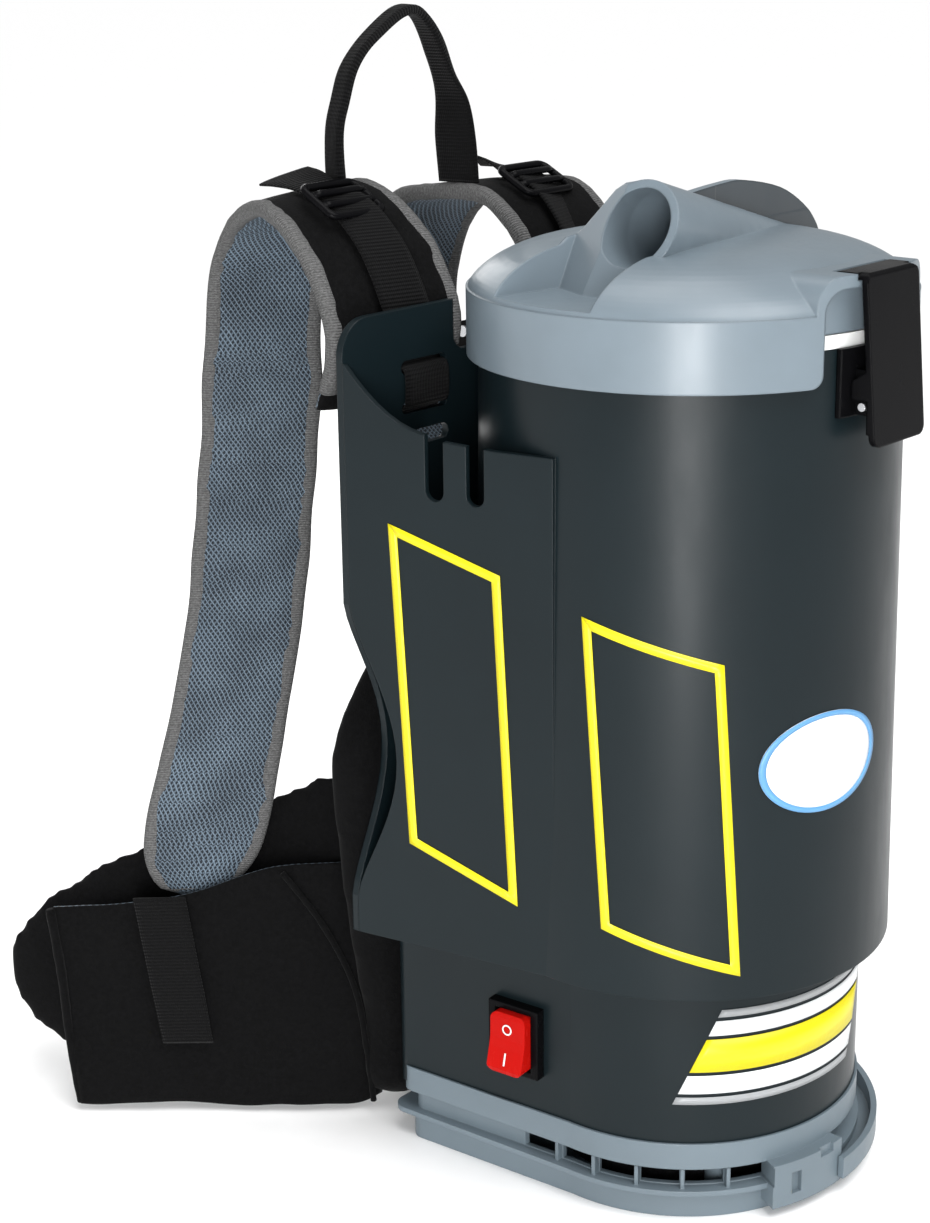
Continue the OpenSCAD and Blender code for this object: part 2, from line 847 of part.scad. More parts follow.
module rocker() {
    color(C_RED) on_side_wall() {
        intersection() {
            translate([0, switch_y + rocker_w, 0]) rotate([90, 0, 0])
                linear_extrude(2 * rocker_w) translate([0, switch_z]) polygon(rocker_side);
            translate([-20, switch_y, switch_z]) rotate([0, 90, 0]) rotate([0, 0, 90])
                linear_extrude(30) {
                    square([2 * (rocker_w - rocker_c), 2 * rocker_h], center = true);
                    square([2 * rocker_w, 2 * (rocker_h - rocker_c)], center = true);
                    for (y = [-1, 1], z = [-1, 1])
                        translate([y * (rocker_w - rocker_c), z * (rocker_h - rocker_c)])
                            circle(r = rocker_c);
                }
        }
        rod_y(-rocker_u, switch_y - 12.2, switch_y + 12.2, switch_z, pivot_pin_r);
    }
}

// Screws --------------------------------------------------------------------
module screw_y(x, y_head, z, len, r) {
    rod_y(x, y_head - len, y_head + 0.1, z, r);
    difference() {
        rod_y(x, y_head, y_head + 2.4, z, 2 * r);
        box(x - 0.5, x + 0.5, y_head + 1.2, y_head + 3, z - 2.6, z + 2.6);
        box(x - 2.6, x + 2.6, y_head + 1.2, y_head + 3, z - 0.5, z + 0.5);
    }
}

module screw_z(x, y, z_head, len, dir) {
    translate([x, y, z_head]) mirror([0, 0, dir < 0 ? 1 : 0]) {
        translate([0, 0, -len]) cylinder(r = 2, h = len + 0.1);
        difference() {
            cylinder(r = 4, h = 2.4);
            box(-0.5, 0.5, -2.6, 2.6, 1.2, 3);
            box(-2.6, 2.6, -0.5, 0.5, 1.2, 3);
        }
    }
}

module plate_screws() {
    color(C_STEEL) for (x = [-plate_screw_x, plate_screw_x], z = plate_screw_z)
        screw_y(x, plate_rear, z, 17, 2);
}

module hinge_screws() {
    color(C_STEEL) for (q = hinge_screw_xz) screw_y(q[0], plate_rear + 3, q[1], 7, 2);
}

module housing_screws() {
    color(C_STEEL) for (side = [-1, 1])
        screw_z(side * housing_screw_xy[0], housing_screw_xy[1], shell_z + wall, 22, 1);
}

module base_screws() {
    color(C_STEEL) for (q = base_screw_xy) screw_z(q[0], q[1], 8, 38, -1);
}

// Harness -------------------------------------------------------------------
pad_rear = plate_rear + 1.5;
lumbar_outline = [[85, 10], [100, 60], [114, 140], [120, 205], [117, 224], [108, 241],
                  [93, 259], [74, 277], [51, 289], [20, 295]];

module lumbar_pad() {
    mirrored = [for (i = [len(lumbar_outline) - 1 : -1 : 0])
        [-lumbar_outline[i][0], lumbar_outline[i][1]]];
    color(C_CLOTH) translate([0, pad_rear + 26, 0]) rotate([90, 0, 0]) linear_extrude(26)
        polygon(concat(lumbar_outline, mirrored));
}

// Waist pad: [x, y, low, high] from the lumbar pad out to its rounded front end.
hip_stations = [[-84, 140, 12, 196], [-96, 158, 14, 197], [-106, 176, 16, 192],
                [-117, 194, 18, 180], [-139, 230, 20, 162], [-162, 258, 21, 148],
                [-180, 283, 22, 130], [-190, 297, 28, 118], [-198, 308, 42, 102],
                [-203, 316, 62, 88]];

module upright_band(stations, t) {
    station_band([for (s = stations)
        [[s[0], s[1], (s[2] + s[3]) / 2], [0, 0, (s[3] - s[2]) / 2]]], t, 2);
}

module hip_pad() {
    upright_band(hip_stations, pad_t);
}

module hip_pad_left() { color(C_CLOTH) hip_pad(); }
module hip_pad_right() { color(C_CLOTH) mirror([1, 0, 0]) hip_pad(); }

// Outer panel of the waist belt, from the lumbar pad to its square front edge.
panel_stations = [[-88, 139, 7, 150], [-104, 146, 5, 151], [-131, 177, 5, 148],
                  [-158, 212, 5, 132], [-180, 239, 5, 126], [-203, 268, 5, 124]];

module belt_panel() {
    upright_band(panel_stations, 6);
}

module belt_panel_left() { color(C_CLOTH) belt_panel(); }
module belt_panel_right() { color(C_CLOTH) mirror([1, 0, 0]) belt_panel(); }

// Webbing sewn on the panel, which draws the shoulder strap down.
module belt_webbing() {
    station_band([[[-172.5, 219.5, 128], [-9.5, 10.5, 0]],
                  [[-168.5, 215, 86], [-9.5, 10.5, 0]],
                  [[-165, 211, 46], [-9, 10.5, 0]]], web_t, 2);
}

module belt_webbing_left() { color(C_CLOTH) belt_webbing(); }
module belt_webbing_right() { color(C_CLOTH) mirror([1, 0, 0]) belt_webbing(); }

// Shoulder straps: [centre, half width towards the outer edge].
left_stations = [[[-80, 133, 402], [-41, 7, 0]], [[-76, 128, 438], [-37, 10, 0]],
                 [[-75, 141, 468], [-36, 13, 1]], [[-75, 154, 483], [-35, 13, 0]],
                 [[-75, 169, 493], [-33, 13, -2]], [[-73.5, 187, 498], [-29, 12, -4]],
                 [[-73, 205, 490], [-26, 16, -5]], [[-73, 218, 470], [-22, 20, -3]],
                 [[-73, 223, 447], [-21.5, 20.5, 0]], [[-75, 224.5, 420], [-22, 21.5, 0]],
                 [[-78, 225, 380], [-22.3, 22.3, 0]], [[-86, 224, 335], [-22, 22, 0]],
                 [[-101, 219, 277], [-22, 22, 0]], [[-121, 215, 222], [-22.5, 22, 0]],
                 [[-138, 214, 175], [-23.5, 24, 0]], [[-147, 216, 140], [-22, 22, 0]],
                 [[-149, 218, 104], [-21, 22, 0]]];

right_stations = [[[80, 132, 402], [-41, 6, 0]], [[76, 128, 438], [-37, 5, 0]],
                  [[75, 136, 463], [-37, 5, 0]], [[75, 150, 479], [-37, 5, 0]],
                  [[75, 168, 488], [-36, 6, 0]], [[75, 200, 488], [-34, 9, 0]],
                  [[75, 232, 479], [-31, 13, 0]], [[74, 251, 460], [-28, 17, 0]],
                  [[73, 260, 430], [-26, 20, 0]], [[74, 263, 390], [-25, 22, 0]],
                  [[78, 264, 345], [-25, 22, 0]], [[90, 261, 288], [-25, 22, 0]],
                  [[107, 254, 235], [-22, 23, 0]], [[126, 241, 190], [-10, 30, 0]],
                  [[143, 226, 150], [18, 26, 0]], [[149, 220, 104], [22, 23, 0]]];

module strap_left() { color(C_MESH) station_band(left_stations, strap_t, 2); }
module strap_right() { color(C_MESH) station_band(right_stations, strap_t, 2); }

anchor_mid = (anchor_x0 + anchor_x1) / 2;
upper_leg_z = 420.5;
lower_leg_z = 400;

// Webbing threaded through the plate's slots and up to the ladder buckle.
module anchor_webbing() {
    x0 = -anchor_mid - web_w / 2;
    x1 = x0 + web_w;
    front = plate_y - web_t - 0.4;
    color(C_CLOTH) {
        box(x0, x1, front, plate_y - 0.4, lower_leg_z - web_t / 2, upper_leg_z + web_t / 2);
        box(x0, x1, front, plate_rear + 0.3, lower_leg_z - web_t / 2, lower_leg_z + web_t / 2);
        box(x0, x1, front, plate_rear + 1.2, upper_leg_z - web_t / 2, upper_leg_z + web_t / 2);
        box(x0, x1, plate_rear + 0.3, plate_rear + 0.3 + web_t, lower_leg_z - web_t / 2, 434);
    }
}

module lifter_webbing(z_shift) {
    station_band([[[-anchor_mid, 117.2, 433], [-14, 0, 0]],
                  [[-73, 121, 448], [-13, 2, 0]],
                  [[-74, 134.2, 473 + z_shift], [-13, 4, 0]],
                  [[-75, 149, 489.4 + z_shift], [-13, 4, 0]],
                  [[-75, 156.5, 494.6 + z_shift], [-13, 4, 0]]], web_t, 2);
}

module anchor_webbing_left() {
    anchor_webbing();
    color(C_CLOTH) lifter_webbing(0);
}

module anchor_webbing_right() {
    mirror([1, 0, 0]) {
        anchor_webbing();
        color(C_CLOTH) lifter_webbing(-3);
    }
}

// Ladder buckle: a frame with two cross bars.
module ladder_buckle() {
    difference() {
        translate([-17, -12, -2.2]) cube([34, 24, 4.4]);
        for (y = [-8.5, -1.6, 5.3]) translate([-14, y, -3]) cube([28, 3.4, 6]);
    }
}

module strap_buckle_left() {
    color(C_BLACK) translate([-75, 162, 497.8]) rotate([30, 0, 0]) ladder_buckle();
}

module strap_buckle_right() {
    color(C_BLACK) translate([75, 160, 493.5]) rotate([28, 0, 0]) ladder_buckle();
}

module strap_tail(z) {
    station_band([[[-76, 168, z - 2], [-12, 0, 0]], [[-76, 180, z + 2.5], [-12, 2, -1]],
                  [[-76, 192, z + 6], [-11, 5, -3]], [[-76, 203, z + 7], [-9.5, 7, -4]]],
                 web_t, 2);
}

module strap_tail_left() { color(C_CLOTH) strap_tail(501); }
module strap_tail_right() { color(C_CLOTH) mirror([1, 0, 0]) strap_tail(495.5); }

handle_stations = [[[-60, 181, 500], [1, 6, 0]], [[-59.5, 182, 528], [1, 6, 0]],
                   [[-54.5, 182, 545], [1, 6, 0]], [[-48, 182, 560], [1, 6, 0]],
                   [[-36, 182, 572.5], [1, 6, 0]], [[-20.5, 182.5, 581.5], [1, 6, 0]],
                   [[-6, 183, 587.5], [1, 6, 0]], [[5.5, 183.5, 586], [1, 6, 0]],
                   [[17.5, 184, 573], [0, 7, 0]], [[29, 186, 553.5], [-1, 7, 0]],
                   [[37, 187, 538.5], [-2, 9.5, 0]], [[41, 188.5, 518], [-3, 11, 0]],
                   [[45, 190, 494], [-3, 11, 0]]];

module carry_handle() { color(C_CLOTH) station_band(handle_stations, 4, 3); }

body_shell();
back_plate();
motor_housing();
base_ring();
exhaust_filter();
intake_grille();
fan_housing();
motor_gasket();
motor_mount();
motor_can();
stator();
motor_bearings();
filter_cage();
cloth_filter();
filter_collar();
switch_bezel();
switch_body();
latch_bracket();
latch_keeper_pin();
hinge_bracket();
hinge_pin();
plate_screws();
housing_screws();
base_screws();
hinge_screws();
cord_gland();
lid();
lid_seal();
inlet_seal();
latch_pin();
latch_lever();
rocker();
motor_shaft();
armature();
impeller();
lumbar_pad();
hip_pad_left();
hip_pad_right();
belt_panel_left();
belt_panel_right();
belt_webbing_left();
belt_webbing_right();
strap_left();
strap_right();
anchor_webbing_left();
anchor_webbing_right();
strap_buckle_left();
strap_buckle_right();
strap_tail_left();
strap_tail_right();
carry_handle();
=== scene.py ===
"""Looks for the backpack vacuum cleaner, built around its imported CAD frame."""
import json
import math

import bpy
from mathutils import Matrix, Vector, noise


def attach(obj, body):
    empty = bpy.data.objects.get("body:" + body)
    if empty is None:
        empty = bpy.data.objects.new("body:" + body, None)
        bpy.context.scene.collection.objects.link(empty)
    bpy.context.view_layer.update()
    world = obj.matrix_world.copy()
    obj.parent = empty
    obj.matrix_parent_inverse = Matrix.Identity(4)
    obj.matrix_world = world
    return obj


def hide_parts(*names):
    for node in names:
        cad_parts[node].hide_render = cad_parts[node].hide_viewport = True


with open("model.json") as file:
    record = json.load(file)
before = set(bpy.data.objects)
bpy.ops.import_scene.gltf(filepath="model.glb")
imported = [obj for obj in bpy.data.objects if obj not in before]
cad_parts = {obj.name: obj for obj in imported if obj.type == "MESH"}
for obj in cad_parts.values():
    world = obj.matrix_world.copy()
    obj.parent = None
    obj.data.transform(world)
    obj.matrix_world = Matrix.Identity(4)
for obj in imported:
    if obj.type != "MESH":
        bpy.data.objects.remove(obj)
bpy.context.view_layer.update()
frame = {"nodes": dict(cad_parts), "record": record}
NODES = frame["nodes"]
MM = 0.001


def vec(*values):
    """A point or a length given in millimetres, in metres."""
    return Vector(values) * MM


# Camera ------------------------------------------------------------------------
CAM_PLACE = vec(-901.1, -646.9, 643.5)
CAM_TARGET = vec(-74.5, 84.2, 296.5)
CAM_ROLL = math.radians(-0.8)
CAM_LENS = 87.98
SENSOR_WIDTH = 36.0


def make_camera():
    data = bpy.data.cameras.new("camera")
    data.sensor_fit = "HORIZONTAL"
    data.sensor_width = SENSOR_WIDTH
    data.lens = CAM_LENS
    cam = bpy.data.objects.new("camera", data)
    bpy.context.scene.collection.objects.link(cam)
    forward = (CAM_TARGET - CAM_PLACE).normalized()
    right = forward.cross(Vector((0, 0, 1))).normalized()
    up = right.cross(forward)
    x_axis = right * math.cos(CAM_ROLL) + up * math.sin(CAM_ROLL)
    y_axis = up * math.cos(CAM_ROLL) - right * math.sin(CAM_ROLL)
    turn = Matrix((x_axis, y_axis, -forward)).transposed().to_4x4()
    cam.matrix_world = Matrix.Translation(CAM_PLACE) @ turn
    bpy.context.scene.camera = cam


# Lights and floor --------------------------------------------------------------
SKY_LIGHT = 0.37
SUN_POWER = 2.85
SUN_WAY = (0.10, 0.50, -0.95)
STRIP_DISTANCE = 1.5
FLOOR_SIZE = 60


def area_light(name, place, target, size, power):
    """A soft box at a place, aimed at a target, with its sides in metres."""
    data = bpy.data.lights.new(name, "AREA")
    data.shape = "RECTANGLE"
    data.size, data.size_y = size
    data.energy = power
    light = bpy.data.objects.new(name, data)
    bpy.context.scene.collection.objects.link(light)
    light.location = place
    aim = Vector(target) - Vector(place)
    light.rotation_euler = aim.to_track_quat("-Z", "Y").to_euler()


def make_stage():
    """White sky, a wide sun from the front, four soft boxes and a pale floor."""
    world = bpy.data.worlds.new("studio")
    bpy.context.scene.world = world
    world.use_nodes = True
    back = world.node_tree.nodes["Background"]
    back.inputs["Color"].default_value = (1.0, 1.0, 1.0, 1)
    back.inputs["Strength"].default_value = SKY_LIGHT
    sun = bpy.data.lights.new("overhead", "SUN")
    sun.energy = SUN_POWER
    sun.angle = math.radians(45)
    lamp = bpy.data.objects.new("overhead", sun)
    bpy.context.scene.collection.objects.link(lamp)
    lamp.rotation_euler = Vector(SUN_WAY).to_track_quat("-Z", "Y").to_euler()
    front = Vector((CAM_PLACE.x, CAM_PLACE.y, 0)).normalized() * STRIP_DISTANCE
    area_light("front_strip", (front.x, front.y, 0.38), (0, 0, 0.30), (0.32, 0.70), 19)
    area_light("top", (0.2, 0.3, 2.0), (0, 0, 0.4), (0.9, 0.9), 8)
    area_light("left_strip", (-1.7, 0.9, 1.0), (-0.1, 0.1, 0.3), (0.3, 1.4), 3)
    area_light("rear_soft", (0.9, 2.1, 0.9), (0, 0, 0.3), (1.2, 1.2), 14)
    bpy.context.scene.view_settings.view_transform = "Standard"
    bpy.ops.mesh.primitive_plane_add(size=FLOOR_SIZE, location=(0, 0, 0))
    floor = bpy.context.object
    floor.name = "floor"
    paint = Paint("floor_paint", (0.92, 0.92, 0.92), rough=0.6)
    speckle = paint.cloud(Scale=40.0, Detail=2.0)
    paint.ramp_color(speckle, (0.93, 0.93, 0.93), (0.95, 0.95, 0.95))
    floor.data.materials.append(paint.mat)


# Materials ---------------------------------------------------------------------
class Paint:
    """A node material: a Principled shader with helpers for procedural detail."""

    def __init__(self, name, color, rough=0.5, coords="Object", bevel=0.0, **sockets):
        self.mat = bpy.data.materials.new(name)
        self.mat.use_nodes = True
        self.tree = self.mat.node_tree
        self.shader = self.tree.nodes["Principled BSDF"]
        self.shader.inputs["Base Color"].default_value = (*color, 1)
        self.shader.inputs["Roughness"].default_value = rough
        for key, value in sockets.items():
            self.shader.inputs[key.replace("_", " ")].default_value = value
        self.coord = self.node("ShaderNodeTexCoord").outputs[coords]
        self.normal = None
        if bevel:
            edge = self.node("ShaderNodeBevel", samples=6)
            edge.inputs["Radius"].default_value = bevel * MM
            self.set_normal(edge.outputs["Normal"])

    @classmethod
    def over(cls, mat):
        """The helpers again, for more work on a finished material."""
        paint = cls.__new__(cls)
        paint.mat, paint.tree, paint.normal = mat, mat.node_tree, None
        paint.shader = paint.tree.nodes["Principled BSDF"]
        paint.coord = paint.node("ShaderNodeTexCoord").outputs["Object"]
        return paint

    def node(self, kind, **props):
        made = self.tree.nodes.new(kind)
        for key, value in props.items():
            setattr(made, key, value)
        return made

    def link(self, source, target):
        self.tree.links.new(source, target)

    def set_normal(self, socket):
        self.normal = socket
        self.link(socket, self.shader.inputs["Normal"])

    def cloud(self, coord=None, **inputs):
        """A noise texture's value."""
        made = self.node("ShaderNodeTexNoise")
        self.link(coord or self.coord, made.inputs["Vector"])
        for key, value in inputs.items():
            made.inputs[key].default_value = value
        return made.outputs["Fac"]

    def math(self, operation, a, b=None):
        """A math node. SINE and the like take one value."""
        made = self.node("ShaderNodeMath", operation=operation)
        for index, value in enumerate((a, b)):
            if value is None:
                continue
            if isinstance(value, (int, float)):
                made.inputs[index].default_value = value
            else:
                self.link(value, made.inputs[index])
        return made.outputs[0]

    def within(self, socket, low, high):
        """1 where the socket lies between two lengths in millimetres, else 0."""
        return self.math("MULTIPLY", self.math("GREATER_THAN", socket, low * MM),
                         self.math("LESS_THAN", socket, high * MM))

    def ramp_color(self, socket, low, high, start=0.35, end=0.65):
        ramp = self.node("ShaderNodeValToRGB")
        self.link(socket, ramp.inputs["Fac"])
        ramp.color_ramp.elements[0].position = start
        ramp.color_ramp.elements[1].position = end
        ramp.color_ramp.elements[0].color = (*low, 1)
        ramp.color_ramp.elements[1].color = (*high, 1)
        self.link(ramp.outputs["Color"], self.shader.inputs["Base Color"])

    def ramp_rough(self, socket, low, high, start=0.3, end=0.7):
        remap = self.node("ShaderNodeMapRange")
        self.link(socket, remap.inputs["Value"])
        for key, value in (("From Min", start), ("From Max", end), ("To Min", low),
                           ("To Max", high)):
            remap.inputs[key].default_value = value
        self.link(remap.outputs["Result"], self.shader.inputs["Roughness"])

    def bump(self, height, depth):
        """Relief from a height, its depth in millimetres."""
        made = self.node("ShaderNodeBump")
        made.inputs["Strength"].default_value = 1.0
        made.inputs["Distance"].default_value = depth * MM
        self.link(height, made.inputs["Height"])
        if self.normal:
            self.link(self.normal, made.inputs["Normal"])
        self.set_normal(made.outputs["Normal"])

    def stretch(self, x, y, z):
        """The material's coordinates, scaled."""
        mapping = self.node("ShaderNodeMapping")
        mapping.inputs["Scale"].default_value = (x, y, z)
        self.link(self.coord, mapping.inputs["Vector"])
        return mapping.outputs["Vector"]


def shade(color, factor):
    """A colour made darker or lighter."""
    return tuple(min(1.0, c * factor) for c in color)


def moulded(name, color, rough, bevel=0.9, grain=0.02, **sockets):
    """Moulded plastic: fine spark grain, slow colour drift and rounded edges."""
    paint = Paint(name, color, rough, bevel=bevel, **sockets)
    drift = paint.cloud(Scale=9.0, Detail=4.0, Roughness=0.6)
    paint.ramp_color(drift, shade(color, 0.93), shade(color, 1.08))
    smear = paint.cloud(paint.stretch(1, 1, 0.35), Scale=38.0, Detail=5.0, Roughness=0.65)
    paint.ramp_rough(smear, rough - 0.05, rough + 0.07)
    spark = paint.cloud(Scale=1500.0, Detail=2.0)
    paint.bump(spark, grain)
    return paint.mat


def lid_plastic():
    """The lid's plastic, with painted shade: darker in the slot beside the blade and on the blade's
    front face.
    """
    mat = moulded("lid_plastic", LID, 0.33, bevel=1.4, Specular_IOR_Level=0.45)
    paint = Paint.over(mat)
    split = paint.node("ShaderNodeSeparateXYZ")
    paint.link(paint.coord, split.inputs[0])
    x, y = split.outputs["X"], split.outputs["Y"]
    # Painted shade: the slot beside the blade and the blade's front face are coloured darker,
    # standing in for shade.
    slot = paint.math("MULTIPLY", paint.within(x, 12.2, 95.8), paint.within(y, -8.4, -5.3))
    facing = paint.node("ShaderNodeSeparateXYZ")
    paint.link(paint.node("ShaderNodeNewGeometry").outputs["True Normal"], facing.inputs[0])
    front = paint.math("LESS_THAN", facing.outputs["Y"], -0.6)
    blade = paint.math("MULTIPLY", paint.within(x, -9, 107), paint.within(y, -5.3, -4.6))
    dark = paint.math("MAXIMUM", slot, paint.math("MULTIPLY", blade, front))
    mix = paint.node("ShaderNodeMix", data_type="RGBA")
    paint.link(dark, mix.inputs[0])
    paint.link(paint.shader.inputs["Base Color"].links[0].from_socket, mix.inputs[6])
    # The painted shade colour: the lid's colour darkened.
    mix.inputs[7].default_value = (*shade(LID, 0.28), 1)
    paint.link(mix.outputs[2], paint.shader.inputs["Base Color"])
    return mat


def metal(name, color, rough):
    """Metal with a fine brushed grain."""
    paint = Paint(name, color, rough, bevel=0.3, Metallic=1.0)
    brush = paint.cloud(paint.stretch(1, 1, 30), Scale=180.0, Detail=3.0)
    paint.ramp_rough(brush, rough - 0.08, rough + 0.12)
    paint.bump(brush, 0.01)
    return paint.mat


def rubber(name):
    """Dull black rubber with a pitted skin."""
    color = (0.018, 0.018, 0.019)
    paint = Paint(name, color, 0.7, bevel=0.4)
    pits = paint.cloud(Scale=120.0, Detail=4.0)
    paint.ramp_color(pits, shade(color, 0.8), shade(color, 1.4))
    paint.bump(pits, 0.05)
    return paint.mat


def nylon(name, color, pitch=0.9, depth=0.25):
    """Woven nylon cloth, without UVs: two crossed thread waves and a soft mottling."""
    paint = Paint(name, color, 0.85, Sheen_Weight=0.03, Sheen_Roughness=0.5,
                  Specular_IOR_Level=0.05)
    turns = 2 * math.pi / (pitch * MM)
    split = paint.node("ShaderNodeSeparateXYZ")
    paint.link(paint.coord, split.inputs[0])
    along = paint.math("ADD", split.outputs["X"], split.outputs["Y"])
    warp = paint.math("SINE", paint.math("MULTIPLY", along, turns))
    weft = paint.math("SINE", paint.math("MULTIPLY", split.outputs["Z"], turns))
    weave = paint.math("MULTIPLY", warp, weft)
    fuzz = paint.cloud(Scale=900.0, Detail=3.0)
    height = paint.math("ADD", paint.math("MULTIPLY", weave, 0.12), fuzz)
    mottle = paint.cloud(Scale=420.0, Detail=5.0, Roughness=0.75)
    paint.ramp_color(mottle, shade(color, 0.6), shade(color, 1.5), 0.36, 0.68)
    paint.bump(height, depth)
    return paint.mat


def spacer_mesh(name):
    """Air mesh: a diamond net of pale threads over a dark ground, laid out in UV metres."""
    dark, light = (0.008, 0.012, 0.018), (0.145, 0.195, 0.245)
    paint = Paint(name, light, 0.55, coords="UV", Sheen_Weight=0.03, Specular_IOR_Level=0.3)
    split = paint.node("ShaderNodeSeparateXYZ")
    wobble = paint.node("ShaderNodeTexNoise")
    wobble.inputs["Scale"].default_value = 45.0
    paint.link(paint.coord, wobble.inputs["Vector"])
    shift = paint.node("ShaderNodeVectorMath", operation="SCALE")
    paint.link(wobble.outputs["Color"], shift.inputs[0])
    shift.inputs["Scale"].default_value = 0.0028
    moved = paint.node("ShaderNodeVectorMath", operation="ADD")
    paint.link(paint.coord, moved.inputs[0])
    paint.link(shift.outputs[0], moved.inputs[1])
    paint.link(moved.outputs[0], split.inputs[0])
    turns = 2 * math.pi / (NET_PITCH * MM)
    across = paint.math("MULTIPLY", split.outputs["X"], turns * 1.15)
    down = paint.math("MULTIPLY", split.outputs["Y"], turns * 0.85)
    one = paint.math("SINE", paint.math("ADD", across, down))
    two = paint.math("SINE", paint.math("SUBTRACT", across, down))
    net = paint.math("MAXIMUM", one, paint.math("MULTIPLY", two, 0.6))
    patch = paint.cloud(Scale=28.0, Detail=3.0)
    glow = paint.math("ADD", net, paint.math("MULTIPLY", patch, 1.1))
    paint.ramp_color(paint.math("MULTIPLY", glow, 0.5), dark, light, 0.22, 0.9)
    paint.bump(net, 0.5)
    return paint.mat


def ribbed(name, color, pitch, depth, rough=0.8):
    """Webbing or binding tape: ribs across the run, with twill lines, in UV metres."""
    paint = Paint(name, color, rough, coords="UV", Sheen_Weight=0.03,
                  Specular_IOR_Level=0.08)
    split = paint.node("ShaderNodeSeparateXYZ")
    paint.link(paint.coord, split.inputs[0])
    turns = 2 * math.pi / (pitch * MM)
    rib = paint.math("SINE", paint.math("MULTIPLY", split.outputs["Y"], turns))
    thread = paint.math("SINE", paint.math("MULTIPLY", split.outputs["X"], turns * 1.7))
    fuzz = paint.cloud(Scale=700.0, Detail=3.0)
    height = paint.math("ADD", rib, paint.math("MULTIPLY", paint.math("ADD", thread, fuzz), 0.4))
    tone = paint.math("ADD", paint.math("MULTIPLY", rib, 0.10), fuzz)
    paint.ramp_color(tone, shade(color, 0.6), shade(color, 1.3), 0.3, 0.75)
    paint.bump(height, depth)
    return paint.mat


NET_PITCH = 3.0
BODY = (0.0050, 0.0098, 0.0120)
LID = (0.142, 0.178, 0.206)
GREY = (0.120, 0.155, 0.180)
BLACK_CLOTH = (0.0027, 0.0027, 0.0029)


def make_materials():
    """Every material, keyed by the record's slot name or the film it colours."""
    mats = {
        "body": moulded("body_plastic", BODY, 0.34, bevel=1.0, Specular_IOR_Level=0.20),
        "lid": lid_plastic(),
        "base_grey": moulded("base_plastic", GREY, 0.42, bevel=0.8),
        "black_plastic": moulded("black_plastic", (0.003, 0.003, 0.0035), 0.24, bevel=1.4,
                                 Specular_IOR_Level=0.05),
        "collar": moulded("collar_plastic", (0.82, 0.83, 0.82), 0.5, bevel=0.6),
        "switch_red": moulded("switch_red", (0.42, 0.005, 0.003), 0.26, bevel=0.7,
                              Specular_IOR_Level=0.06),
        "rubber": rubber("rubber"),
        "steel": metal("steel", (0.62, 0.63, 0.65), 0.3),
        "aluminium": metal("aluminium", (0.70, 0.71, 0.73), 0.4),
        "copper": metal("winding", (0.55, 0.25, 0.12), 0.45),
        "filter_cloth": nylon("filter_cloth", (0.72, 0.72, 0.68), 1.4),
        "black_fabric": nylon("black_nylon", BLACK_CLOTH),
        "mesh_fabric": spacer_mesh("air_mesh"),
        "webbing": ribbed("black_webbing", (0.0034, 0.0034, 0.0037), 2.0, 0.25),
        # Near black so that the base vents look dark: this is painted shade for the inside of the
        # vent openings.
        "carbon_filter": nylon("carbon_filter", (0.012, 0.012, 0.013), 1.4),
        "binding": ribbed("grey_binding", (0.115, 0.115, 0.115), 1.3, 0.18),
    }
    for name, color, rough in (("yellow", (0.72, 0.62, 0.0), 0.4),
                               ("white", (0.82, 0.84, 0.85), 0.35),
                               ("blue", (0.10, 0.28, 0.52), 0.35),
                               ("silver", (0.30, 0.31, 0.32), 0.35)):
        mats[name] = moulded(name + "_film", color, rough, bevel=0.0, grain=0.01)
    return mats


def dress_frame(mats):
    """Gives every carried-over CAD node the material of its slot."""
    slots = {s["node"]: s["material_slot"] for s in frame["record"]["subparts"]}
    for name, obj in NODES.items():
        obj.data.materials.clear()
        obj.data.materials.append(mats[slots[name]])


# Mesh helpers ------------------------------------------------------------------
def new_object(name, verts, faces, mats, face_mats=None, uvs=None):
    """A smooth-shaded mesh object. uvs holds one pair for each face corner."""
    mesh = bpy.data.meshes.new(name)
    mesh.from_pydata([tuple(v) for v in verts], [], faces)
    for mat in mats:
        mesh.materials.append(mat)
    if face_mats:
        mesh.polygons.foreach_set("material_index", face_mats)
    if uvs:
        layer = mesh.uv_layers.new(name="run")
        for loop, uv in zip(layer.data, uvs):
            loop.uv = uv
    mesh.polygons.foreach_set("use_smooth", [True] * len(mesh.polygons))
    mesh.update()
    obj = bpy.data.objects.new(name, mesh)
    bpy.context.scene.collection.objects.link(obj)
    return obj


RUN_STEPS = 10


def curve_point(a, b, c, d, t):
    """Catmull-Rom between b and c."""
    return 0.5 * (2 * b + (c - a) * t + (2 * a - 5 * b + 4 * c - d) * t * t
                  + (3 * b - a - 3 * c + d) * t ** 3)


def smooth(points, steps):
    """A Catmull-Rom run through the points, as part.scad draws its bands."""
    last = len(points) - 1
    run = []
    for i in range(last):
        four = (points[max(i - 1, 0)], points[i], points[i + 1], points[min(i + 2, last)])
        run += [curve_point(*four, j / steps) for j in range(steps)]
    return run + [points[last].copy()]


def even(points, others, gap):
    """Both runs resampled at an even gap along the first."""
    lengths = [0.0]
    for a, b in zip(points, points[1:]):
        lengths.append(lengths[-1] + (b - a).length)
    count = max(4, round(lengths[-1] / gap))
    out_a, out_b, at, i = [], [], [], 0
    for k in range(count + 1):
        want = lengths[-1] * k / count
        while i < len(lengths) - 2 and lengths[i + 1] < want:
            i += 1
        t = (want - lengths[i]) / max(1e-9, lengths[i + 1] - lengths[i])
        out_a.append(points[i].lerp(points[i + 1], t))
        out_b.append(others[i].lerp(others[i + 1], t))
        at.append(want)
    return out_a, out_b, at


def tangents(points):
    """The run's direction at each point."""
    last = len(points) - 1
    return [(points[min(i + 1, last)] - points[max(i - 1, 0)]).normalized()
            for i in range(last + 1)]


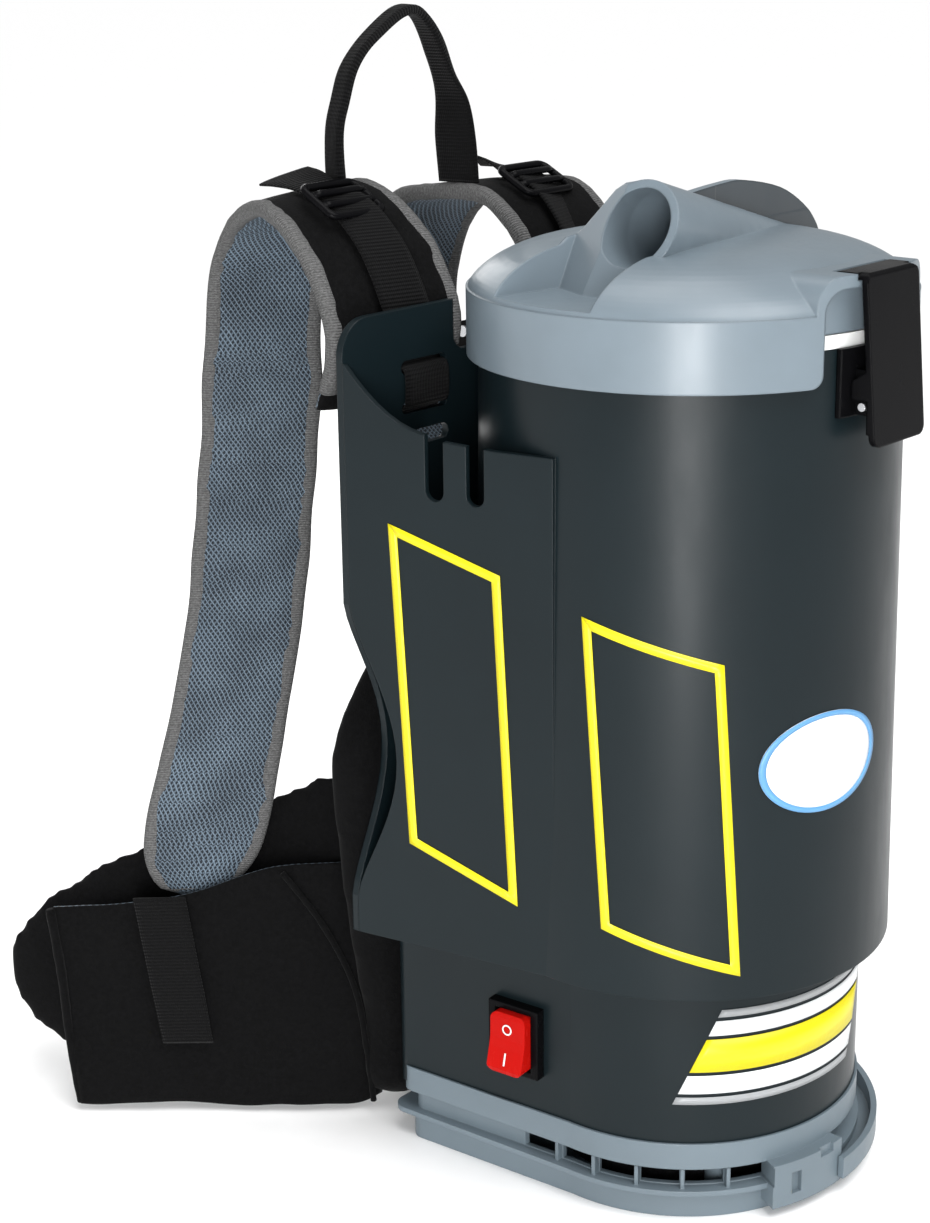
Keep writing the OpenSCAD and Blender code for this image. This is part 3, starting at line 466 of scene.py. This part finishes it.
def sweep(name, rings, lengths, mats, face_mat=None, closed_run=False):
    """Skins rings of points, and caps an open run. UV is metres round and along the run."""
    m, n = len(rings[0]), len(rings)
    verts = [p for ring in rings for p in ring]
    faces, uvs, kinds = [], [], []
    round_u = []
    for ring in rings:
        u = [0.0]
        for a, b in zip(ring, ring[1:] + ring[:1]):
            u.append(u[-1] + (b - a).length)
        round_u.append(u)
    for i in range(n if closed_run else n - 1):
        j = (i + 1) % n
        v0 = lengths[i]
        v1 = lengths[i + 1] if i + 1 < len(lengths) else lengths[i] + 0.004
        for k in range(m):
            k1 = (k + 1) % m
            faces.append((i * m + k, j * m + k, j * m + k1, i * m + k1))
            uvs += [(round_u[i][k], v0), (round_u[i][k], v1),
                    (round_u[i][k + 1], v1), (round_u[i][k + 1], v0)]
            kinds.append(face_mat(k, m) if face_mat else 0)
    if not closed_run:
        for ring_index, order in ((0, range(m)), (n - 1, range(m - 1, -1, -1))):
            faces.append(tuple(ring_index * m + k for k in order))
            uvs += [(0.0, 0.0)] * m
            kinds.append(0)
    return new_object(name, verts, faces, mats, kinds, uvs)


def wave(point, scale, amount, seed=0.0):
    """A smooth wander of up to amount millimetres."""
    return noise.noise(point * scale + Vector((seed, seed * 1.7, -seed))) * amount * MM


def run_of(stations, gap=4.0):
    """Centres, half widths, lengths and directions of a band through (centre, half) stations."""
    centres = smooth([vec(*s[0]) for s in stations], RUN_STEPS)
    halves = smooth([vec(*s[1]) for s in stations], RUN_STEPS)
    centres, halves, lengths = even(centres, halves, gap * MM)
    return centres, halves, lengths, tangents(centres)


def pad_ring(centre, half, normal, thick, m, square, crown):
    """A padded cross-section: flat-topped, with edges drawn down to the binding."""
    ring = []
    for k in range(m):
        angle = 2 * math.pi * k / m
        c, s = math.cos(angle), math.sin(angle)
        across = math.copysign(abs(c) ** square, c)
        up = math.copysign(abs(s) ** crown, s)
        ring.append(centre + half * across + normal * up * thick / 2)
    return ring


BAND_GAP = 2.5
BAND_COLUMNS = 8


def box_ring(centre, half, normal, thick):
    """A flat band's cross-section, with rounded edges and room to wave."""
    top = [(-1 + 2 * k / BAND_COLUMNS, 1) for k in range(BAND_COLUMNS + 1)]
    top[0], top[-1] = (-0.985, 0.7), (0.985, 0.7)
    low = [(a, -b) for a, b in reversed(top)]
    loop = top + [(1, 0)] + low + [(-1, 0)]
    return [centre + half * a + normal * b * thick / 2 for a, b in loop]


# Soft goods --------------------------------------------------------------------
# A strap's stations: the centre, and the half width as a vector.
LEFT_STRAP = [
    ((-80, 133, 402), (-41, 7, 0)), ((-76, 128, 438), (-37, 10, 0)),
    ((-75, 141, 468), (-36, 13, 1)), ((-75, 154, 483), (-35, 13, 0)),
    ((-75, 169, 493), (-33, 13, -2)), ((-73.5, 187, 498), (-29, 12, -4)),
    ((-73, 205, 490), (-26, 16, -5)), ((-73, 218, 470), (-22, 20, -3)),
    ((-73, 223, 447), (-21.5, 20.5, 0)), ((-75, 224.5, 420), (-22, 21.5, 0)),
    ((-78, 225, 380), (-22.3, 22.3, 0)), ((-86, 224, 335), (-22, 22, 0)),
    ((-101, 219, 277), (-22, 22, 0)), ((-121, 215, 222), (-22.5, 22, 0)),
    ((-138, 214, 175), (-23.5, 24, 0)), ((-147, 216, 140), (-22, 22, 0)),
    ((-149, 218, 129), (-21, 22, 0)),
]
RIGHT_STRAP = [
    ((80, 132, 402), (-41, 6, 0)), ((76, 128, 438), (-37, 5, 0)), ((75, 136, 463), (-37, 5, 0)),
    ((75, 150, 479), (-37, 5, 0)), ((75, 168, 488), (-36, 6, 0)), ((75, 200, 488), (-34, 9, 0)),
    ((75, 232, 479), (-31, 13, 0)), ((74, 251, 460), (-28, 17, 0)),
    ((73, 260, 430), (-26, 20, 0)), ((74, 263, 390), (-25, 22, 0)),
    ((78, 264, 345), (-25, 22, 0)), ((90, 261, 288), (-25, 22, 0)),
    ((107, 254, 235), (-22, 23, 0)), ((126, 241, 190), (-10, 30, 0)),
    ((143, 226, 150), (18, 26, 0)), ((149, 220, 126), (22, 23, 0)),
]


ROUND_END = 30
STRAP_THICK = 9.0
TAPE_HALF_W, TAPE_HALF_T, TAPE_INSET = 4.6, 4.4, 4.2
TAPE_SKIP = 2


def binding(name, path, outs, norms, mats):
    """Tape folded over an edge: an elliptic bead whose long way lies across the edge."""
    m = 12
    rings, lengths = [], []
    total = 0.0
    for i, point in enumerate(path):
        if i:
            total += (point - path[i - 1]).length
        lengths.append(total)
        pucker = 1 + 0.16 * noise.noise(point * 210)
        ring = []
        for k in range(m):
            angle = 2 * math.pi * k / m
            reach = outs[i] * (math.cos(angle) * TAPE_HALF_W - TAPE_INSET)
            rise = math.copysign(abs(math.sin(angle)) ** 0.6, math.sin(angle))
            lift = norms[i] * rise * TAPE_HALF_T
            ring.append(point + (reach + lift * pucker) * MM)
        rings.append(ring)
    return sweep(name, rings, lengths + [total + 0.004], mats, closed_run=True)


def shoulder_strap(side, stations, mats):
    """A padded strap, black outside and mesh inside, with tape round its edge."""
    centres, halves, lengths, runs = run_of(stations)
    total = lengths[-1]
    rings, norms, edge_a, edge_b = [], [], [], []
    for i, centre in enumerate(centres):
        left = total - lengths[i]
        shrink = 1.0
        if left < ROUND_END * MM:
            shrink = math.sqrt(max(0.0, 1 - (1 - left / MM / ROUND_END) ** 2)) * 0.75 + 0.25
        half = halves[i] * shrink
        normal = runs[i].cross(halves[i]).normalized()
        sway = normal * wave(centre, 26, 1.6, 3.1)
        fold = math.exp(-((left / MM - 52) / 9) ** 2) - math.exp(-((left / MM - 66) / 6) ** 2)
        half = half * (1 + 0.05 * noise.noise(centre * 30))
        norms.append(normal)
        thick = (STRAP_THICK + 2.2 * fold) * MM
        ring = pad_ring(centre + sway, half, normal, thick, 36, 0.42, 0.62)
        rings.append([p + normal * wave(p, 60, 0.8) for p in ring])
        edge_a.append(centre + sway + half)
        edge_b.append(centre + sway - half)
    pad = sweep("strap_%s_pad" % side, rings, lengths,
                [mats["black_fabric"], mats["mesh_fabric"]],
                lambda k, m: 1 if k >= m // 2 else 0)
    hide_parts("strap_" + side)
    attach(pad, "housing")
    path = edge_a[TAPE_SKIP:] + list(reversed(edge_b[TAPE_SKIP:]))
    outs = [h.normalized() for h in halves[TAPE_SKIP:]]
    outs = outs + [-o for o in reversed(outs)]
    bead_norms = norms[TAPE_SKIP:] + list(reversed(norms[TAPE_SKIP:]))
    end = len(norms) - TAPE_SKIP
    for i in (end - 1, end):
        outs[i] = runs[-1]
    tape = binding("strap_%s_binding" % side, path, outs, bead_norms, [mats["binding"]])
    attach(tape, "housing")


def flat_band(name, stations, thick, mat, wobble):
    """A length of webbing that wavers by up to wobble millimetres."""
    centres, halves, lengths, runs = run_of(stations, BAND_GAP)
    rings = []
    for i, centre in enumerate(centres):
        normal = runs[i].cross(halves[i]).normalized()
        ring = box_ring(centre, halves[i], normal, thick * MM)
        rings.append([p + normal * wave(p, 45, wobble, 5.0) for p in ring])
    band = sweep(name, rings, lengths, [mat])
    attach(band, "housing")
    return band


def mirrored(stations):
    """The stations of the other side."""
    return [((-c[0], c[1], c[2]), (-h[0], h[1], h[2])) for c, h in stations]


def lifter(side, drop, mats):
    """Webbing threaded through the plate's two slots, then up to the ladder buckle."""
    x = -71.5
    w = (-16, 0, 0)
    rise = 473.4 + drop
    run = [((x, 121, 391), w), ((x, 118.4, 397), w), ((x, 116.2, 400), w), ((x, 112, 400.2), w),
           ((x, 110.4, 402.5), w), ((x, 109.8, 411), w), ((x, 110.4, 418.5), w),
           ((x, 112.6, 420.6), w), ((x, 115.6, 421), w), ((x, 118.6, 424), w),
           ((x, 119.4, 436), (-15, 0.5, 0)), ((-73, 122.2, 449), (-14, 3, 0)),
           ((-74, 134.0, rise), (-13, 4, 0)), ((-75, 148.6, rise + 17), (-13, 4, 0)),
           ((-75, 158.5, rise + 24), (-13, 4, 0)), ((-75, 166, rise + 27.6), (-13, 4, 0))]
    if side == "right":
        run = mirrored(run)
    band = flat_band("lifter_webbing_" + side, run, 1.7, mats["webbing"], 0.3)
    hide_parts("anchor_webbing_" + side)


def buckle(side, place, tilt, mats):
    """Ladder buckle: a rounded frame with two raised cross bars."""
    outline = []
    half_x, half_y, corner = 18.5, 12.5, 4.5
    for cx, cy, start in ((1, 1, 0), (-1, 1, 90), (-1, -1, 180), (1, -1, 270)):
        for a in range(0, 91, 15):
            angle = math.radians(start + a)
            outline.append(Vector((cx * (half_x - corner) + corner * math.cos(angle),
                                   cy * (half_y - corner) + corner * math.sin(angle), 0)))
    parts = [(outline, True, 2.3)]
    for y, lift in ((-4.2, 1.2), (4.2, 1.8)):
        parts.append(([Vector((-half_x + 1, y, lift * 0.3)), Vector((-half_x + 5, y, lift)),
                       Vector((half_x - 5, y, lift)), Vector((half_x - 1, y, lift * 0.3))],
                      False, 2.1))
    verts, faces = [], []
    m = 10
    for points, closed, radius in parts:
        base = len(verts)
        n = len(points)
        for i, p in enumerate(points):
            after = points[(i + 1) % n] if closed else points[min(i + 1, n - 1)]
            before = points[i - 1] if closed else points[max(i - 1, 0)]
            run = (after - before).normalized()
            flat = run.cross(Vector((0, 0, 1))).normalized()
            lift = flat.cross(run).normalized()
            for k in range(m):
                angle = 2 * math.pi * k / m
                verts.append(p + flat * math.cos(angle) * radius
                             + lift * math.sin(angle) * radius * 0.85)
        for i in range(n if closed else n - 1):
            j = (i + 1) % n
            for k in range(m):
                k1 = (k + 1) % m
                faces.append((base + i * m + k, base + j * m + k, base + j * m + k1,
                              base + i * m + k1))
        if not closed:
            faces.append(tuple(base + k for k in range(m)))
            faces.append(tuple(base + (n - 1) * m + k for k in reversed(range(m))))
    turn = Matrix.Rotation(math.radians(tilt), 3, "X")
    placed = [(turn @ v) * MM + vec(*place) for v in verts]
    obj = new_object("buckle_" + side, placed, faces, [mats["black_plastic"]])
    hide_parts("strap_buckle_" + side)
    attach(obj, "housing")


def strap_tail(side, z, mats):
    """The loose end of webbing behind a buckle."""
    run = [((-76, 168, z - 2), (-12, 0, 0)), ((-76, 180, z + 3), (-12, 2, -1)),
           ((-76, 192, z + 6), (-12, 5, -3)), ((-76, 203, z + 7), (-11, 7, -4))]
    if side == "right":
        run = mirrored(run)
    band = flat_band("webbing_tail_" + side, run, 1.7, mats["webbing"], 0.8)
    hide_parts("strap_tail_" + side)


HANDLE = [((-60, 181, 502), (1, 7, 0)), ((-59.5, 182, 528), (1, 6, 0)),
          ((-54.5, 182, 545), (1, 6, 0)), ((-48, 182, 560), (1, 6, 0)),
          ((-36, 182, 572.5), (1, 6, 0)), ((-20.5, 182.5, 581.5), (1, 6, 0)),
          ((-6, 183, 587.5), (1, 6, 0)), ((5.5, 183.5, 586), (1, 6, 0)),
          ((17.5, 184, 573), (0, 7, 0)), ((29, 186, 553.5), (-1, 7, 0)),
          ((37, 187, 538.5), (-2, 10, 0)), ((41, 188.5, 518), (-3, 12, 0)),
          ((45, 190, 494), (-3, 12, 0))]


def carry_handle(mats):
    """Webbing folded double over the grip, which opens flat down its right leg."""
    centres, halves, lengths, runs = run_of(HANDLE, BAND_GAP)
    rings = []
    for i, centre in enumerate(centres):
        normal = runs[i].cross(halves[i]).normalized()
        opened = min(1.0, max(0.0, (lengths[i] / lengths[-1] - 0.66) / 0.12))
        ring = box_ring(centre, halves[i], normal, (5.0 - 3.0 * opened) * MM)
        rings.append([p + normal * wave(p, 45, 0.7, 5.0) for p in ring])
    band = sweep("carry_handle_webbing", rings, lengths, [mats["webbing"]])
    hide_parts("carry_handle")
    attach(band, "housing")


# Stations of the belt on the wearer's left: x, y and the lower and upper edge.
HIP = [(-84, 141, 12, 196), (-95, 160, 14, 197), (-102, 179, 16, 190), (-111, 199, 18, 178),
       (-135, 233, 20, 162), (-162, 258, 21, 148), (-180, 283, 22, 130), (-190, 297, 28, 118),
       (-198, 308, 42, 102), (-203, 316, 62, 88)]
PANEL = [(-88, 139, 7, 150), (-104, 146, 5, 151), (-131, 177, 5, 148), (-158, 212, 5, 132),
         (-180, 239, 5, 126), (-202, 267, 5, 124)]
# Points of the panel's two sewn cords.
PANEL_SEAM = [(-130, 168, 147), (-116, 152, 115), (-105, 141, 78), (-101, 137, 40), (-99, 135, 9)]
PANEL_EDGE = [(-207, 270, 123), (-204.5, 267.5, 85), (-203, 266, 45), (-200, 263.5, 6)]


def upright(stations, side):
    """Band stations from (x, y, low, high) ones, with the band's width upright."""
    flip = 1 if side == "left" else -1
    return [((flip * x, y, (low + high) / 2), (0, 0, (high - low) / 2))
            for x, y, low, high in stations]


def piping(name, points, radius, side, mat):
    """A round sewn cord along the points."""
    flip = 1 if side == "left" else -1
    run = smooth([vec(flip * x, y, z) for x, y, z in points], 8)
    runs = tangents(run)
    rings, lengths = [], []
    for i, point in enumerate(run):
        lengths.append(0.0 if not i else lengths[-1] + (point - run[i - 1]).length)
        side_way = runs[i].cross(Vector((0.7, 0.7, 0))).normalized()
        out = side_way.cross(runs[i])
        size = radius * MM * (1 + 0.15 * noise.noise(point * 150))
        rings.append([point + side_way * size * math.cos(a) + out * size * math.sin(a)
                      for a in (2 * math.pi * k / 10 for k in range(10))])
    cord = sweep(name, rings, lengths, [mat])
    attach(cord, "housing")


HEM_REACH = 0.06
PUFF_FRAMES = 20
DRAW_IN = 0.8


def puff(obj, pressure, cap):
    """Swells a closed pad with a short cloth simulation, holding each point within cap."""
    rest = [v.co.copy() for v in obj.data.vertices]
    cloth = obj.modifiers.new("puff", "CLOTH")
    cloth.settings.use_pressure = True
    cloth.settings.uniform_pressure_force = pressure
    cloth.settings.effector_weights.gravity = 0
    cloth.settings.quality = 4
    cloth.point_cache.frame_start = 1
    cloth.point_cache.frame_end = PUFF_FRAMES
    scene = bpy.context.scene
    for number in range(1, PUFF_FRAMES + 1):
        scene.frame_set(number)
    graph = bpy.context.evaluated_depsgraph_get()
    swollen = [v.co.copy() for v in obj.evaluated_get(graph).data.vertices]
    obj.modifiers.remove(cloth)
    scene.frame_set(1)
    moves = []
    for vert, start, end in zip(obj.data.vertices, rest, swollen):
        move = end - start
        if move.length > cap * MM:
            move *= cap * MM / move.length
        out = move.dot(vert.normal)
        along = move - vert.normal * out
        moves.append(vert.normal * max(out, -DRAW_IN * MM) + along * 0.3)
    near = [[] for _ in rest]
    for edge in obj.data.edges:
        a, b = edge.vertices
        near[a].append(b)
        near[b].append(a)
    for _ in range(5):
        moves = [sum((moves[k] for k in links), moves[i]) / (len(links) + 1)
                 for i, links in enumerate(near)]
    for vert, start, move in zip(obj.data.vertices, rest, moves):
        vert.co = start + move
    obj.data.update()


def remesh(obj, size, mat):
    """An even mesh for the simulation, with the voxels' steps eased away."""
    mod = obj.modifiers.new("even", "REMESH")
    mod.mode = "VOXEL"
    mod.voxel_size = size * MM
    ease = obj.modifiers.new("ease", "SMOOTH")
    ease.factor, ease.iterations = 0.5, 8
    graph = bpy.context.evaluated_depsgraph_get()
    mesh = bpy.data.meshes.new_from_object(obj.evaluated_get(graph))
    obj.modifiers.remove(mod)
    obj.modifiers.remove(ease)
    obj.data = mesh
    mesh.materials.clear()
    mesh.materials.append(mat)
    mesh.polygons.foreach_set("use_smooth", [True] * len(mesh.polygons))


def hip_pad(side, mats):
    """The round-ended waist pad, swollen by cloth simulation."""
    centres, halves, lengths, runs = run_of(upright(HIP, side))
    rings = []
    for i, centre in enumerate(centres):
        normal = runs[i].cross(halves[i]).normalized()
        rings.append(pad_ring(centre, halves[i], normal, 8.5 * MM, 44, 0.5, 0.6))
    pad = sweep("waist_pad_" + side, rings, lengths, [mats["black_fabric"]])
    remesh(pad, 4.5, mats["black_fabric"])
    puff(pad, 3.0, 5.0)
    pad.modifiers.new("soft", "SUBSURF").levels = 1
    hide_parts("hip_pad_" + side)
    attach(pad, "housing")


def belt_panel(side, mats):
    """The square panel over the waist pad, with a slanted front edge and a wavy hem."""
    centres, halves, lengths, runs = run_of(upright(PANEL, side), 3.0)
    rings = []
    m = 72
    for i, centre in enumerate(centres):
        normal = runs[i].cross(halves[i]).normalized()
        slant = 4.0 * max(0.0, lengths[i] / lengths[-1] - 0.6) / 0.4 * MM
        half = halves[i] + runs[i] * slant
        ring = pad_ring(centre, half, normal, 6.0 * MM, m, 0.5, 0.45)
        hem = Vector((0, 0, wave(centre, 34, 2.2, 9.0)))
        rings.append([p + normal * (wave(p, 16, 3.0, 2.0) + wave(p, 60, 0.7))
                      + hem * min(1.0, max(0.0, centre.z - p.z) / HEM_REACH) for p in ring])
    panel = sweep("belt_panel_cloth_" + side, rings, lengths,
                  [mats["black_fabric"], mats["mesh_fabric"]],
                  lambda k, m: (1 if k >= m // 2 else 0) if side == "right"
                  else (0 if k >= m // 2 else 1))
    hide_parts("belt_panel_" + side)
    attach(panel, "housing")
    piping("belt_seam_" + side, PANEL_SEAM, 1.7, side, mats["black_fabric"])
    piping("belt_edge_" + side, PANEL_EDGE, 2.6, side, mats["black_fabric"])


def belt_webbing(side, mats):
    """The webbing sewn down the panel."""
    run = [((-173.3, 218.9, 133), (-9.5, 10.5, 0)), ((-169.3, 214.2, 86), (-9.5, 10.5, 0)),
           ((-165.9, 210.2, 46), (-9, 10.5, 0))]
    if side == "right":
        run = mirrored(run)
    band = flat_band("belt_webbing_" + side, run, 1.6, mats["webbing"], 0.4)
    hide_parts("belt_webbing_" + side)


# The lumbar pad's half outline, and its layers: how far out each reaches, and its depth.
LUMBAR = [(85, 10), (100, 60), (114, 140), (120, 205), (117, 224), (108, 241), (93, 259),
          (74, 277), (51, 289), (20, 295)]
LUMBAR_LAYERS = [(0.94, 118.2), (0.99, 121), (1.01, 127), (1.02, 134), (1.02, 139),
                 (0.99, 142.5), (0.9, 144.2), (0.65, 145), (0.3, 145.3)]


def lumbar_pad(mats):
    """A thick back pad, crowned towards the wearer and drawn in at its edge."""
    outline = [Vector((x, 0, z)) for x, z in LUMBAR]
    outline += [Vector((-x, 0, z)) for x, z in reversed(LUMBAR)]
    outline = smooth(outline + [outline[0]], 4)[:-1]
    middle = Vector((0, 0, 140))
    verts = []
    for scale, y in LUMBAR_LAYERS:
        verts += [((middle + (p - middle) * scale) + Vector((0, y, 0))) * MM for p in outline]
    n = len(outline)
    faces = []
    for layer in range(len(LUMBAR_LAYERS) - 1):
        for k in range(n):
            k1 = (k + 1) % n
            a, b = layer * n, (layer + 1) * n
            faces.append((a + k, b + k, b + k1, a + k1))
    faces.append(tuple(range(n)))
    faces.append(tuple((len(LUMBAR_LAYERS) - 1) * n + k for k in reversed(range(n))))
    pad = new_object("lumbar_cushion", verts, faces, [mats["black_fabric"]])
    remesh(pad, 5.0, mats["black_fabric"])
    puff(pad, 3.5, 6.0)
    pad.modifiers.new("soft", "SUBSURF").levels = 1
    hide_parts("lumbar_pad")
    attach(pad, "housing")


# Decals ------------------------------------------------------------------------
FILM_LIFT, FILM_THICK, MARK_LIFT = 0.35, 0.3, 0.25
FOOT_R, RIM_R, SHELL_Z, RIM_Z = 108.0, 104.0, 130.0, 446.0
WING_X, WING_SLOPE = 107.0, 23.0 / 112.0
HOUSING_R = 94
BAND_WIDTH = 4.6
# The badge's centre and radii: degrees round the canister, and millimetres up it.
BADGE, BADGE_RADII = (-105, 247), (20, 25)
# Stripes on the housing: colour, lower and upper edge. They lean by degrees per millimetre.
STRIPES = (("silver", 66, 70), ("white", 72, 82), ("yellow", 84, 102), ("white", 104, 112),
           ("silver", 114, 118))
STRIPE_START, STRIPE_SPAN, STRIPE_FOOT, STRIPE_LEAN = -146, 68, 66, 0.28


def shell_radius(z):
    return FOOT_R + (RIM_R - FOOT_R) * (z - SHELL_Z) / (RIM_Z - SHELL_Z)


def shell_point(s, z, lift):
    """A point on the left wing (s > 0, going back) or round the canister (s < 0)."""
    radius = shell_radius(z)
    if s >= 0:
        return Vector((-WING_X - WING_SLOPE * s - lift, s - lift * WING_SLOPE, z)) * MM
    angle = math.pi - s / radius
    blend = min(1.0, -s / 12.0)
    reach = (WING_X + lift) * (1 - blend) + (radius + lift) * blend
    return Vector((reach * math.cos(angle), reach * math.sin(angle), z)) * MM


def on_cylinder(radius, degrees, z):
    angle = math.radians(degrees)
    return Vector((radius * math.cos(angle), radius * math.sin(angle), z)) * MM


def housing_point(degrees, z, lift):
    return on_cylinder(HOUSING_R + lift, degrees, z)


def front_point(degrees, z, lift):
    return on_cylinder(shell_radius(z) + lift, degrees, z)


def ribbon(name, pairs, mat):
    """A flat strip through pairs of points."""
    verts = [p for pair in pairs for p in pair]
    faces = [(2 * i, 2 * i + 1, 2 * i + 3, 2 * i + 2) for i in range(len(pairs) - 1)]
    return new_object(name, verts, faces, [mat])


def thicken(obj, thickness, offset):
    solid = obj.modifiers.new("thick", "SOLIDIFY")
    solid.thickness = thickness * MM
    solid.offset = offset


def film(name, outline_pairs, place, mat):
    """A thin film between two edge runs, laid on a curved surface."""
    pairs = [(place(*inner, FILM_LIFT), place(*outer, FILM_LIFT)) for inner, outer in outline_pairs]
    obj = ribbon(name, pairs, mat)
    thicken(obj, FILM_THICK, 0)
    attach(obj, "housing")


def frame_line(name, corners, width, place, mat):
    """A closed outline band of even width, mitred at its corners, along straight edges."""
    n = len(corners)
    pts = [Vector((c[0], c[1], 0)) for c in corners]
    offs = []
    for i in range(n):
        before = (pts[i] - pts[i - 1]).normalized()
        after = (pts[(i + 1) % n] - pts[i]).normalized()
        n1 = Vector((-before.y, before.x, 0))
        n2 = Vector((-after.y, after.x, 0))
        mid = (n1 + n2).normalized()
        offs.append(mid * (width / 2 / max(0.3, mid.dot(n1))))
    pairs = []
    for a in range(n):
        b = (a + 1) % n
        steps = max(2, int((pts[b] - pts[a]).length / 4))
        for k in range(steps):
            t = k / steps
            inner = (pts[a] - offs[a]).lerp(pts[b] - offs[b], t)
            outer = (pts[a] + offs[a]).lerp(pts[b] + offs[b], t)
            pairs.append((inner, outer))
    pairs.append((pts[0] - offs[0], pts[0] + offs[0]))
    film(name, [((p.x, p.y), (q.x, q.y)) for p, q in pairs], place, mat)


def disc_film(name, centre, radii, place, mat, lift, scales):
    """An oval plate or ring, laid on a curved surface in rings so that it follows it."""
    verts, faces = [], []
    n = 72
    for scale in scales:
        for k in range(n):
            angle = 2 * math.pi * k / n
            verts.append(place(centre[0] + radii[0] * scale * math.cos(angle),
                               centre[1] + radii[1] * scale * math.sin(angle), lift))
    for r in range(len(scales) - 1):
        for k in range(n):
            k1 = (k + 1) % n
            faces.append((r * n + k, (r + 1) * n + k, (r + 1) * n + k1, r * n + k1))
    if scales[0] < 0.1:
        faces.append(tuple(range(n)))
    obj = new_object(name, verts, faces, [mat])
    thicken(obj, FILM_THICK, 0)
    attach(obj, "housing")


def decals(mats):
    """Plain marks: two outline bands, an oval plate with a ring, and slanted stripes."""
    frame_line("mark_band_rear", [(86, 350), (30, 333), (22, 168), (78, 188)], BAND_WIDTH,
               shell_point, mats["yellow"])
    frame_line("mark_band_front", [(-18, 318), (-82, 300), (-94, 146), (-30, 166)], BAND_WIDTH,
               shell_point, mats["yellow"])
    disc_film("badge_ground", BADGE, BADGE_RADII, front_point, mats["white"], FILM_LIFT,
              [0.04, 0.25, 0.5, 0.75, 1.0])
    disc_film("badge_ring", BADGE, BADGE_RADII, front_point, mats["blue"], 0.6, [0.9, 1.0])
    for i, (mat, low, high) in enumerate(STRIPES):
        pairs = []
        for k in range(31):
            a = STRIPE_START + STRIPE_SPAN * k / 30
            pairs.append(((a + (low - STRIPE_FOOT) * STRIPE_LEAN, low),
                          (a + (high - STRIPE_FOOT) * STRIPE_LEAN, high)))
        film("stripe_%d" % i, pairs, housing_point, mats[mat])


def rocker_marks(mats):
    """The usual off ring and on bar, printed on the rocker's two faces."""
    side = math.atan2(10, 104)

    def on_wall(u, y, z):
        return Vector((-HOUSING_R - u * math.cos(side) - y * math.sin(side),
                       -u * math.sin(side) + y * math.cos(side), z)) * MM

    ring, bar = [], []
    for k in range(25):
        angle = 2 * math.pi * k / 24
        point = []
        for r in (2.1, 2.9):
            z = 91.5 + r * math.sin(angle)
            depth = 10.9 + 0.3 * (97.25 - z) / 11.5 + MARK_LIFT
            point.append(on_wall(depth, 31 + r * math.cos(angle), z))
        ring.append(point)
    for k in range(9):
        z = 72.5 + 6.5 * k / 8
        depth = 12.2 + 2.8 * (80.75 - z) / 10.5 + MARK_LIFT
        bar.append([on_wall(depth, 30.55, z), on_wall(depth, 31.45, z)])
    for name, pairs in (("rocker_ring", ring), ("rocker_bar", bar)):
        obj = ribbon(name, pairs, mats["white"])
        thicken(obj, 0.25, -1)
        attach(obj, "rocker")


def main():
    mats = make_materials()
    make_camera()
    make_stage()
    dress_frame(mats)
    shoulder_strap("left", LEFT_STRAP, mats)
    shoulder_strap("right", RIGHT_STRAP, mats)
    for side, drop in (("left", 0), ("right", -3.5)):
        lifter(side, drop, mats)
        hip_pad(side, mats)
        belt_panel(side, mats)
        belt_webbing(side, mats)
    buckle("left", (-75, 162, 499.2), 30, mats)
    buckle("right", (75, 160, 495), 28, mats)
    strap_tail("left", 501, mats)
    strap_tail("right", 495.5, mats)
    carry_handle(mats)
    lumbar_pad(mats)
    decals(mats)
    rocker_marks(mats)


main()
